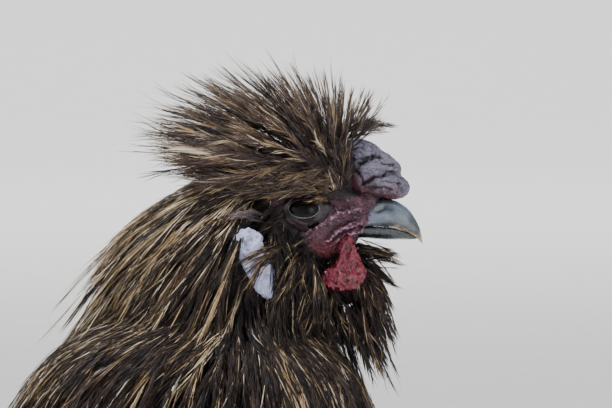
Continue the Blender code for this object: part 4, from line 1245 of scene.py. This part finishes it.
class ROOSTER_OT_crest(RoosterOperator):
    """Lays the crest's soft hair, its pale streaks and its long single wisps"""

    bl_idname = "rooster.crest"
    bl_label = "Crest"

    def build(self):
        coat = Coat("crest_hair", 11)
        draw = coat.draw
        combs = [comb.grown(0.9) for comb in comb_eggs()]
        eyes = [eyeball(side).grown(1.5) for side in (-1, 1)]

        def shade(roots, draw):
            back = smoothstep(-roots[:, 0], -76.0, -58.0)
            tone = np.clip(draw.normal(0.27, 0.12, len(roots)) - 0.10 * back, 0.03, 0.6)
            return np.where(draw.random(len(roots)) < 0.04 + 0.10 * back, 0.8, tone), 0.07, 0.7

        def reach(roots):
            long = np.interp(roots[:, 0], (56.0, 74.0, 90.0, 100.0), (31.0, 26.0, 17.0, 14.0))
            return long * (0.65 + 0.35 * smoothstep(roots[:, 2], 286.0, 298.0))

        def hang(roots):
            return 0.15 + 0.6 * smoothstep(roots[:, 2], 286.0, 298.0)

        def crown_only(places):
            return (places[:, 0] > 82.0) & (places[:, 0] < 98.0) & (places[:, 2] > 286.0)

        coat.cover(CREST, 2.1, 5.0, crest_lie, reach, shade, barbs=15, width=0.29, vane=2.4,
                   pole=(1, 0, 0.1), span=(0, 150),
                   keep=lambda p: (p[:, 0] < 95.5) | ((p[:, 2] > 302.0) & (p[:, 0] < 101.5)),
                   skip=[HEAD.grown(0.6)] + [comb.grown(-1.5) for comb in comb_eggs()], clear=combs + eyes,
                   lift=(0.0, 0.2), hang=hang, sway=0.2, barb_reach=(0.35, 0.65), fluff=1.8,
                   shaft_width=1.1, mauve=0.12)
        crown = Egg((89.5, 0, 291), 9.5, 12, 10.5, 13.5, 9)
        coat.cover(crown, 1.7, 1.0, fan((97.0, 0.0, 281.0), 0.7), 14.0, plain(0.22, 0.1, 0.06),
                   barbs=13, width=0.29, vane=2.0, keep=crown_only, clear=combs + eyes,
                   lift=(0.1, 0.3), hang=(0.3, 0.8), sway=0.2,
                   barb_reach=(0.35, 0.65), fluff=1.4, mauve=0.15)
        for side in (-1, 1):
            coat.lock([(62, side * 15, 300), (50, side * 19, 301.0), (36, side * 21, 302)], 1.1, 7,
                      plain(0.95, 0.05, 0.7, 1.0), CREST, barbs=14, width=0.32, vane=0.9)
            coat.lock([(77, side * 16, 307.5), (71, side * 18.5, 313), (65.5, side * 20, 317)], 0.25, 2,
                      plain(0.72, 0.03, 0.5, 0.75), CREST, barbs=12, width=0.3, vane=0.5)
            coat.lock([(93, side * 3 + 3, 305), (101, side * 4 + 4, 310), (110, side * 5 + 5, 309)],
                      2.2, 16, plain(0.26), CREST, barbs=16, width=0.3, vane=2.2, fluff=1.6, mauve=0.2)
        wisps = 56
        units = unit(np.stack([draw.uniform(-1.0, 0.0, wisps), draw.uniform(-0.6, 0.6, wisps),
                               draw.uniform(0.05, 1.0, wisps)], axis=1))
        start = CREST.at(units)
        way = unit(units * (1.0, 0.5, 0.45) + draw.normal(0.0, 0.16, (wisps, 3)) + (-0.4, 0.0, 0.05))
        far = draw.uniform(14.0, 42.0, wisps)[:, None]
        steps = np.linspace(0.0, 1.0, 8)[None, :, None]
        lines = start[:, None] + way[:, None] * far[:, None] * steps
        lines = lines + draw.normal(0.0, 3.5, (wisps, 1, 3)) * steps ** 2
        lines[..., 2] = np.minimum(lines[..., 2], 338.0)
        outs = np.broadcast_to(CREST.normal(start)[:, None, :], lines.shape)
        # A third of the wisps are near cream: painted light where light from behind catches them
        tone = draw.choice((0.05, 0.1, 0.95), wisps)
        coat.tufts(lines, outs, (tone, 0.0, 0.9), unwrapped(CREST, start),
                   barbs=2, width=0.24, vane=0.7, barb_reach=(0.2, 0.5), fluff=0.5)
        coat.piece(plumage_finish("crest plumage", 0.34, 0.55), "plumage")


class ROOSTER_OT_beard(RoosterOperator):
    """Lays the brows, the cheeks, the muffs below the eyes and the beard below the beak"""

    bl_idname = "rooster.beard"
    bl_label = "Brows, muffs and beard"

    def build(self):
        finish = plumage_finish("beard plumage", 0.42)
        drops = [wattle_egg(side) for side in (-1, 1)]
        coat = Coat("beard_tufts", 21)
        coat.cover(BEARD, 2.05, 3.5, beard_lie, lambda r: np.interp(r[:, 2], (243, 262), (25.0, 13.0)),
                   plain(0.14, 0.09, 0.10), barbs=12, width=0.40, vane=1.7, span=(10, 165),
                   skip=[HEAD.grown(-2.0)] + [drop.grown(1.0) for drop in drops],
                   clear=[drop.grown(1.2) for drop in drops], lift=(0.0, 0.2), hang=(0.5, 0.9), sway=0.2,
                   barb_reach=(0.3, 0.55), fluff=0.9)
        for y, x, z in ((0, 116.0, 260.5), (-4, 112.6, 254.0), (-4, 113.6, 264.0), (4, 112.6, 254.0),
                        (4, 113.6, 264.0), (-2, 111.0, 248.5), (2, 111.0, 248.5)):
            path = [(99.0, y, 266.0 - 0.25 * (262 - z)), (106.0, y, 0.6 * z + 0.4 * 268.0), (x, y * 1.3, z)]
            coat.lock(path, 2.0, 15, plain(0.16, 0.09, 0.14), BEARD, barbs=13, width=0.38, vane=1.5,
                      tip_spread=0.15)
        coat.cover(UPPER_NECK, 3.8, 4.0, throat_lie, 42.0, plain(0.11, 0.08, 0.12), barbs=18, width=0.42,
                   vane=2.6, pole=(1, 0, -0.35), span=(0, 62), skip=[BEARD.grown(-5.0)],
                   clear=[BEARD.grown(1.0)], lift=(0.0, 0.08), hang=(0.85, 1.0), sway=0.08, straight=0.3)
        coat.piece(finish, "plumage")
        for name, side in SIDES:
            coat = Coat(f"muff_tufts_{name}", 31)
            core, lobe, drop, eye = muff(side), lobe_egg(side), wattle_egg(side), eyeball(side)
            sheer = Egg(drop.centre + (-1.2, side * 12.0, -1.0), 6.5, 7.0, 16.0, 9.5, 9.5)

            def own(places):
                off_face = inside_outline(places, FACE) < 1.2
                below_eye = (places[:, 0] < 85.5) & (places[:, 2] < 276.5)
                return (places[:, 1] * side > 0.0) & (off_face | below_eye)

            coat.cover(core, 2.1, 3.0, cheek_lie, 17.0, plain(0.18, 0.12, 0.12), barbs=11, width=0.40,
                       vane=1.6, span=(10, 150), keep=own,
                       skip=[HEAD.grown(-1.5), lobe.grown(0.3), drop.grown(0.6)],
                       spared=[sheer], lift=(0.08, 0.35), hang=(0.15, 0.5), sway=0.25,
                       barb_reach=(0.3, 0.55), fluff=0.9)
            skip = [eye.grown(0.5), lobe.grown(0.8), Egg((71.2, side * 14, 284.2), 3.0, 3.0, 9, 2.8, 2.8)]

            def cheek(places):
                x, z = places[:, 0], places[:, 2]
                return own(places) & ((x < 86.0) | (z < 268.0)) & (z < 285.0) & (x > 62.0)

            coat.cover(HEAD, 1.65, 0.8, cheek_lie, 13.0, plain(0.17, 0.10, 0.10), barbs=10, width=0.36,
                       vane=1.4, keep=cheek,
                       skip=skip, spared=[sheer], clear=[eye.grown(0.8)], lift=(0.1, 0.35), hang=(0.1, 0.4),
                       sway=0.3, barb_reach=(0.3, 0.6), fluff=0.9)

            def brow(places):
                x, z = places[:, 0], places[:, 2]
                over_eye = (z > 283.9 + 0.12 * np.abs(x - 92.0)) & (z < 292.0) & (x > 70.0) & (x < 97.0)
                return (places[:, 1] * side > 0.0) & over_eye

            coat.cover(HEAD, 1.4, 0.6, fan((118.0, 0.0, 295.5), -0.3), 13.0, plain(0.40, 0.12, 0.12, 0.7),
                       barbs=10, width=0.30, vane=1.2, keep=brow, clear=[eye.grown(1.9)],
                       lift=(0.1, 0.28), hang=(0.2, 0.5), sway=0.15, barb_reach=(0.3, 0.6), fluff=0.6)

            def nape(places):
                return (places[:, 1] * side > -0.5) & (places[:, 0] < 68.0)

            coat.cover(HEAD, 2.9, 2.0, neck_lie, 42.0, mottled(), barbs=18, width=0.44, vane=2.6, keep=nape,
                       skip=[lobe.grown(1.0)], clear=[UPPER_NECK.grown(1.0)], lift=(0.0, 0.15),
                       hang=(0.5, 0.85), sway=0.1, spared=[lobe_window(side)])
            for x, z, far_x, far_z in ((74.5, 268.0, 61.0, 258.5), (74.0, 265.5, 63.0, 254.5),
                                       (73.0, 269.5, 59.0, 263.0)):
                path = [(x, side * 20.0, z), (x - 6, side * 25.0, z - 2.5), (far_x, side * 25.0, far_z)]
                coat.lock(path, 1.0, 5, plain(0.3, 0.1, 0.12, 0.65), HEAD, barbs=11, width=0.34,
                          vane=1.2)
            path = [(67.5, side * 16.5, 278.0), (62.0, side * 19.5, 279.6), (56.5, side * 21.0, 279.0)]
            coat.lock(path, 1.3, 14, plain(0.4, 0.1, 0.2, 0.7), HEAD, barbs=12, width=0.3, vane=1.4,
                      mauve=0.75)
            coat.piece(finish, "plumage", [f"muff_{name}"])


class ROOSTER_OT_hackle(RoosterOperator):
    """Lays the long hackle of the neck and the cape over the shoulders, a piece for each side"""

    bl_idname = "rooster.hackle"
    bl_label = "Hackle and cape"

    def build(self):
        finish = plumage_finish("hackle plumage", 0.34, 0.42)
        width = sizes().strand_width / MM
        for name, side in SIDES:
            def own(places):
                return places[:, 1] * side > -0.5

            def own_hackle(places):
                return own(places) & ~((places[:, 0] > 84.0) & (places[:, 2] > 262.0))

            coat = Coat(f"hackle_{name}", 41)
            lobe = lobe_egg(side)
            coat.cover(UPPER_NECK, 2.7, 5.0, neck_lie, 47.0, mottled(), barbs=20, width=width, vane=2.4,
                       span=(0, 122), keep=own_hackle, clear=[LOWER_NECK.grown(0.6)],
                       skip=[HEAD.grown(-2.0), LOWER_NECK.grown(-12.0), BEARD.grown(-1.0), lobe.grown(0.8),
                             muff(side).grown(-2.0), wattle_egg(side).grown(1.5), eyeball(side).grown(4.0)],
                       lift=(0.0, 0.12), hang=(0.1, 0.7), sway=0.10, spared=[lobe_window(side)],
                       barb_reach=(0.28, 0.6), fluff=1.0, straight=0.25)
            coat.piece(finish, "hackle")

            coat = Coat(f"cape_{name}", 51)
            coat.cover(LOWER_NECK, 4.25, 7.0, neck_lie, 54.0, mottled(), barbs=22, width=width * 1.15,
                       vane=3.2, span=(10, 112), keep=own,
                       skip=[UPPER_NECK.grown(-8.0), TORSO.grown(-7.0)],
                       clear=[TORSO.grown(1.0), wing(side).grown(2.0)], lift=(0.02, 0.14), hang=(0.2, 0.7),
                       sway=0.10, barb_reach=(0.28, 0.55), fluff=1.3, straight=0.4)
            coat.piece(finish, "hackle")


class ROOSTER_OT_body(RoosterOperator):
    """Lays the soft plumage of the breast, back and flanks, a piece for each side"""

    bl_idname = "rooster.body"
    bl_label = "Body plumage"

    def build(self):
        finish = plumage_finish("body plumage", 0.40, 0.55)
        for name, side in SIDES:
            coat = Coat(f"body_{name}", 61)

            def reach(roots):
                saddle = smoothstep(-roots[:, 0], 10.0, 50.0) * smoothstep(roots[:, 2], 140.0, 165.0)
                return 40.0 + 14.0 * saddle

            coat.cover(TORSO, 6.4, 8.0, torso_lie, reach, mottled(0.13, 0.6, 0.7), barbs=24, width=0.75,
                       vane=6.4, pole=(1, 0, 0.3), keep=lambda p: p[:, 1] * side > -1.0,
                       skip=[LOWER_NECK.grown(-6.0), TAIL.grown(-9.0), wing(side).grown(-3.0),
                             thigh(side).grown(-6.0)],
                       clear=[wing(side).grown(1.0), thigh(side).grown(1.0)], lift=(0.06, 0.26),
                       hang=(0.0, 0.2), sway=0.16, fluff=2.8, straight=0.6)
            coat.piece(finish, "plumage")


class ROOSTER_OT_tail(RoosterOperator):
    """Lays the fluffy cushion of the tail and its short sickles"""

    bl_idname = "rooster.tail"
    bl_label = "Tail"

    def build(self):
        coat = Coat("tail_plumes", 71)
        draw = coat.draw
        coat.cover(TAIL, 4.2, 6.0, tail_lie, 38.0, mottled(0.12, 0.55, 0.6), barbs=24, width=0.62,
                   vane=5.0, pole=(1, 0, 0.2), span=(0, 165), skip=[TORSO.grown(-9.0)],
                   clear=[TORSO.grown(2.0)],
                   lift=(0.1, 0.3), hang=(0.3, 0.6), sway=0.18, fluff=2.4, straight=0.5)
        saddle = Egg((-44, 0, 166), 38, 36, 36, 25, 16, 16)
        coat.cover(saddle, 6.2, 5.0, fan((40.0, 0.0, 140.0), 0.5), 42.0, mottled(0.12, 0.6, 0.7),
                   barbs=26, width=0.7, vane=6.0, keep=lambda p: p[:, 2] > 158.0,
                   skip=[TAIL.grown(-7.0), LOWER_NECK.grown(-8.0)],
                   clear=[TAIL.grown(1.0)], lift=(0.1, 0.3), hang=(0.2, 0.6), sway=0.16, fluff=2.8,
                   straight=0.6)
        lines = []
        for tier in (0, 1, 2):
            for fan_at in np.linspace(-1.0, 1.0, 8 - 2 * tier):
                rise = math.radians(66.0 - 26.0 * abs(fan_at) - 16.0 * tier)
                turn = math.radians(42.0 * fan_at)
                way = np.array((-math.cos(rise) * math.cos(turn), math.cos(rise) * math.sin(turn),
                                math.sin(rise)))
                root = TAIL.centre + np.array((-6.0, 12.0 * fan_at, 4.0 - 6.0 * tier))
                reach = 58.0 * draw.uniform(0.88, 1.08) * (1.0 - 0.10 * tier)
                t = np.linspace(0.0, 1.0, 8)[:, None]
                lines.append(root + way * reach * t - np.array((0.25, 0.0, 1.0)) * 16.0 * t ** 2.4)
        lines = np.stack(lines)
        outs = unit(np.array((0.35, 0.0, 1.0)) + (lines - TAIL.centre) * 0.008)
        roots = lines[:, 0]
        coat.tufts(lines, outs, plain(0.1, 0.05, 0.04, 0.5)(roots, draw), unwrapped(TAIL, roots),
                   barbs=130, width=0.55, vane=6.0, barb_reach=(0.13, 0.26), fluff=0.9, first=0.08,
                   shaft_width=1.6, even=True, straight=0.4)
        coat.piece(plumage_finish("tail plumage", 0.42, 0.5), "plumage")


class ROOSTER_OT_wings(RoosterOperator):
    """Lays the coverts over the wings and the loose flight feathers behind them"""

    bl_idname = "rooster.wings"
    bl_label = "Wings"

    def build(self):
        finish = plumage_finish("wing plumage", 0.42, 0.5)
        for name, side in SIDES:
            coat = Coat(f"wing_feathers_{name}", 81)
            draw = coat.draw
            core = wing(side)
            ahead, out, up = core.turn.T
            out = out * side
            torso = TORSO.grown(2.0)
            way = unit(-ahead - up * 0.28)
            coat.cover(core, 4.8, 1.5, lambda p, o: np.broadcast_to(way, p.shape), 30.0,
                       mottled(0.13, 0.55, 0.6), barbs=36, width=0.6, vane=6.0, pole=ahead, span=(8, 128),
                       keep=lambda p: (p - core.centre) @ out > 0.5,
                       clear=[torso], lift=(0.06, 0.2), hang=(0.1, 0.2), sway=0.12, barb_reach=(0.2, 0.4),
                       fluff=1.3, straight=0.5, first=0.05, shaft_width=1.5)
            lines = []
            for k in range(9):
                along = k / 8
                root = core.centre - ahead * (20.0 + 8.0 * along) - out * (1.0 + k % 2)
                root = root + up * (-21.0 + 34.0 * along)
                heading = unit(-ahead - out * 0.3 + up * (-0.48 + 0.40 * along + draw.uniform(-0.05, 0.05)))
                reach = 58.0 * draw.uniform(0.9, 1.08) * (1.0 - 0.2 * along)
                t = np.linspace(0.0, 1.0, 8)[:, None]
                lines.append(torso.pushed(root + heading * reach * t - up * draw.uniform(3.0, 7.0) * t * t))
            lines = np.stack(lines)
            outs = np.broadcast_to(unit(out + up * 0.3), lines.shape)
            roots = lines[:, 0]
            coat.tufts(lines, outs, plain(0.12, 0.05, 0.04, 0.5)(roots, draw), unwrapped(core, roots),
                       barbs=130, width=0.55, vane=6.0, barb_reach=(0.12, 0.24), fluff=0.7, first=0.1,
                       shaft_width=1.6, even=True, straight=0.4)
            coat.piece(finish, "plumage", [f"wing_{name}"])


class ROOSTER_OT_thighs(RoosterOperator):
    """Lays the fluff of the thighs and the feathers of the shanks and outer toes"""

    bl_idname = "rooster.thighs"
    bl_label = "Thighs and feathered feet"

    def build(self):
        finish = plumage_finish("leg plumage", 0.42, 0.6)
        for name, side in SIDES:
            coat = Coat(f"thigh_fluff_{name}", 91)
            core = thigh(side)
            coat.cover(core, 4.2, 4.0, thigh_lie, 30.0, plain(0.14, 0.08, 0.05, 0.55), barbs=20, width=0.65,
                       vane=5.0, span=(50, 165), skip=[TORSO.grown(-4.0)], lift=(0.05, 0.2), hang=(0.2, 0.6),
                       sway=0.2, fluff=2.4, straight=0.6)
            coat.piece(finish, "plumage", [f"thigh_{name}"])

            coat = Coat(f"foot_feathers_{name}", 93)
            draw = coat.draw
            lines, ups = [], []
            s = np.linspace(0.0, 1.0, 8)[:, None]
            for k in range(80):
                t = (k + 0.5) / 80
                turn = math.radians(draw.uniform(35, 165))
                out = np.array((math.cos(turn), side * math.sin(turn), 0.0))
                root = np.array((SHANK_X - 3.0 * (1 - t), side * STANCE, 56.0 - 48.0 * t)) + out * 4.5
                way = unit(out + np.array((-0.2, 0, -0.75 + 0.4 * t)))
                line = root + way * 27.0 * draw.uniform(0.6, 1.2) * s + np.array((0, 0, -6.0)) * s * s
                line[:, 2] = np.maximum(line[:, 2], 1.2 + 3.0 * draw.random())
                lines.append(line)
                ups.append(np.broadcast_to(unit(np.array((0, 0, 1.0)) + out * 0.6), line.shape))
            for toe_name in ("outer", "middle"):
                heading, reach_toe, tip_z = TOES[toe_name]
                for k in range(26):
                    along = reach_toe * (0.12 + 0.72 * (k + 0.5) / 26)
                    root = np.array(toe_place(side, heading, reach_toe, tip_z, along))
                    turn = math.radians(heading + draw.uniform(22, 70))
                    way = unit(np.array((math.cos(turn), side * math.sin(turn), 0.12)))
                    line = root + way * draw.uniform(11.0, 20.0) * s
                    line = line + np.array((0, 0, 2.5)) * np.sin(math.pi * s) + (0, 0, 1.5)
                    line[:, 2] = np.maximum(line[:, 2], 1.0)
                    lines.append(line)
                    ups.append(np.broadcast_to(np.array((0, 0, 1.0)), line.shape))
            lines, ups = np.stack(lines), np.stack(ups)
            count = len(lines)
            spot = np.stack([0.1 + 0.8 * np.arange(count) / count, np.full(count, 0.5)], axis=1)
            coat.tufts(lines, ups, plain(0.14, 0.08, 0.05, 0.55)(lines[:, 0], draw), spot, barbs=20,
                       width=0.46, vane=2.6, barb_reach=(0.2, 0.4), fluff=0.9, straight=0.5)
            coat.piece(finish, "plumage")


def toe_place(side, heading, reach_toe, tip_z, reach):
    turn = math.radians(heading)
    out = Vector((math.cos(turn), side * math.sin(turn), 0.0))
    start = Vector((SHANK_X, side * STANCE, 5.0)) + out * 7.0
    return start + out * reach + Vector((0, 0, (tip_z - 5.0) * (reach / reach_toe) ** 1.5))


class ROOSTER_OT_legs(RoosterOperator):
    """Makes the scaled shanks and five-toed feet, and the claws"""

    bl_idname = "rooster.legs"
    bl_label = "Legs and claws"

    def build(self):
        c = tints()
        finish = Finish("scaled leg", 0.5, Specular_IOR_Level=0.5)
        base = finish.mix(finish.patches(3.0, 4.0, 0.3, 0.7), (0.024, 0.025, 0.030), c.leg)
        base = finish.mix(finish.spread(finish.attribute("ridge"), 0.2, 0.9), (0.014, 0.014, 0.018), base)
        finish.bump(finish.noise(0.9, 4.0, 0.6), 0.3, 0.8)
        finish.bump(finish.cells(1.2, "DISTANCE_TO_EDGE"), 0.25, 0.6)
        leg = finish.done(base, finish.patches(2.0, 3.0, 0.3, 0.7, 0.38, 0.62))
        horn = Finish("claw horn", 0.35, Specular_IOR_Level=0.5)
        tone = horn.mix(horn.spread(horn.noise(1.6, 3.0, 0.6, (0.5, 1, 1)), 0.3, 0.7), (0.10, 0.09, 0.08),
                        (0.36, 0.33, 0.28))
        horn.bump(horn.noise(0.8, 3.0), 0.15, 0.7)
        claw = horn.done(tone, horn.patches(1.6, 2.0, 0.3, 0.7, 0.25, 0.45))
        for name, side in SIDES:
            bm = bmesh.new()
            top = Vector((SHANK_X - 5, side * STANCE, HOCK_Z + 6))
            ankle = Vector((SHANK_X, side * STANCE, 9.0))
            shank = [top, top.lerp(ankle, 0.12), top.lerp(ankle, 0.5), ankle, ankle - Vector((0, 0, 4))]
            add_limb(bm, shank, (6.0, 7.0, 5.2, 6.2, 5.6), 20, upright=(1.0, 0.0, 0.0))
            add_egg(bm, Egg((SHANK_X, side * STANCE, 6.0), 10.2, 10.2, 10.2, 6.2, 5.6))
            for heading, reach_toe, tip_z in TOES.values():
                shares = [k / 28 for k in range(29)]
                points = [toe_place(side, heading, reach_toe, tip_z, reach_toe * t) for t in shares]
                radii = [4.1 * (1.08 - 0.32 * t + 0.10 * math.cos(6.0 * math.pi * t)) for t in shares]
                add_limb(bm, points, radii, 16)
            mesh = blended(bm, 0.62, 3)
            places, ways = coordinates(mesh), normals(mesh)
            flat = np.hypot(places[:, 0] - SHANK_X, places[:, 1] - side * STANCE)
            along = np.where(places[:, 2] > 12.0, places[:, 2], flat)
            step = (along / (sizes().scute / MM)) % 1.0
            facing = np.where(places[:, 2] > 12.0, ways[:, 0] + 0.25 * np.abs(ways[:, 1]), ways[:, 2])
            band = smoothstep(facing, 0.15, 0.6)
            plate = (1.0 - np.abs(step - 0.5) * 2.0) ** 0.4
            pebble = roughened(places, 1.7, 2, "ridged")
            push = band * (plate - 0.6) * 0.75 + (1.0 - band) * (pebble - 0.6) * 0.4
            places = places + ways * push[:, None]
            places[:, 2] = np.maximum(places[:, 2], 0.15)
            moved_to(mesh, places)
            mark(mesh, "ridge", np.clip(band * plate + (1.0 - band) * pebble, 0.0, 1.0))
            replaced = [f"leg_{name}"] + [f"toe_{toe}_{name}" for toe in TOES]
            finished(mesh, f"foot_{name}", leg, replaced)

            bm = bmesh.new()
            for heading, reach_toe, tip_z in TOES.values():
                root = toe_place(side, heading, reach_toe, tip_z, reach_toe * 0.9)
                end = toe_place(side, heading, reach_toe, tip_z, reach_toe + 9.0)
                root.z, end.z = tip_z + 0.9, tip_z - 1.2
                points = [root.lerp(end, t) + Vector((0, 0, 2.2 * math.sin(math.pi * t))) for t in
                          np.linspace(0.0, 1.0, 12)]
                radii = [2.1 * (1.0 - t ** 1.5) + 0.18 for t in np.linspace(0.0, 1.0, 12)]
                add_limb(bm, points, radii, 12)
            mesh = mesh_of(bm, "claws")
            places = coordinates(mesh)
            places[:, 2] = np.maximum(places[:, 2], 0.1)
            moved_to(mesh, places)
            finished(mesh, f"claws_{name}", claw, [f"claw_{toe}_{name}" for toe in TOES])


OPERATORS = (ROOSTER_OT_stage, ROOSTER_OT_skin, ROOSTER_OT_eyes, ROOSTER_OT_comb, ROOSTER_OT_beak,
             ROOSTER_OT_wattles, ROOSTER_OT_crest, ROOSTER_OT_beard, ROOSTER_OT_hackle, ROOSTER_OT_body,
             ROOSTER_OT_tail, ROOSTER_OT_wings, ROOSTER_OT_thighs, ROOSTER_OT_legs)


class ROOSTER_PT_panel(bpy.types.Panel):
    """Lists the pieces of the rooster"""

    bl_idname = "ROOSTER_PT_panel"
    bl_label = "Silkie rooster"
    bl_space_type = "VIEW_3D"
    bl_region_type = "UI"
    bl_category = "Rooster"

    def draw(self, context):
        for operator in OPERATORS:
            self.layout.operator(operator.bl_idname)
        for group in (context.scene.rooster_sizes, context.scene.rooster_colours):
            for name in group.bl_rna.properties.keys():
                if name not in ("rna_type", "name"):
                    self.layout.prop(group, name)


CLASSES = (RoosterSizes, RoosterColours, *OPERATORS, ROOSTER_PT_panel)


def register():
    for made in CLASSES:
        bpy.utils.register_class(made)
    bpy.types.Scene.rooster_sizes = PointerProperty(type=RoosterSizes)
    bpy.types.Scene.rooster_colours = PointerProperty(type=RoosterColours)


def unregister():
    del bpy.types.Scene.rooster_colours
    del bpy.types.Scene.rooster_sizes
    for made in reversed(CLASSES):
        bpy.utils.unregister_class(made)


def main():
    register()
    bpy.ops.rooster.stage()
    bpy.ops.rooster.skin()
    bpy.ops.rooster.eyes()
    bpy.ops.rooster.comb()
    bpy.ops.rooster.beak()
    bpy.ops.rooster.wattles()
    bpy.ops.rooster.crest()
    bpy.ops.rooster.beard()
    bpy.ops.rooster.hackle()
    bpy.ops.rooster.body()
    bpy.ops.rooster.tail()
    bpy.ops.rooster.wings()
    bpy.ops.rooster.thighs()
    bpy.ops.rooster.legs()


if __name__ == "__main__":
    main()
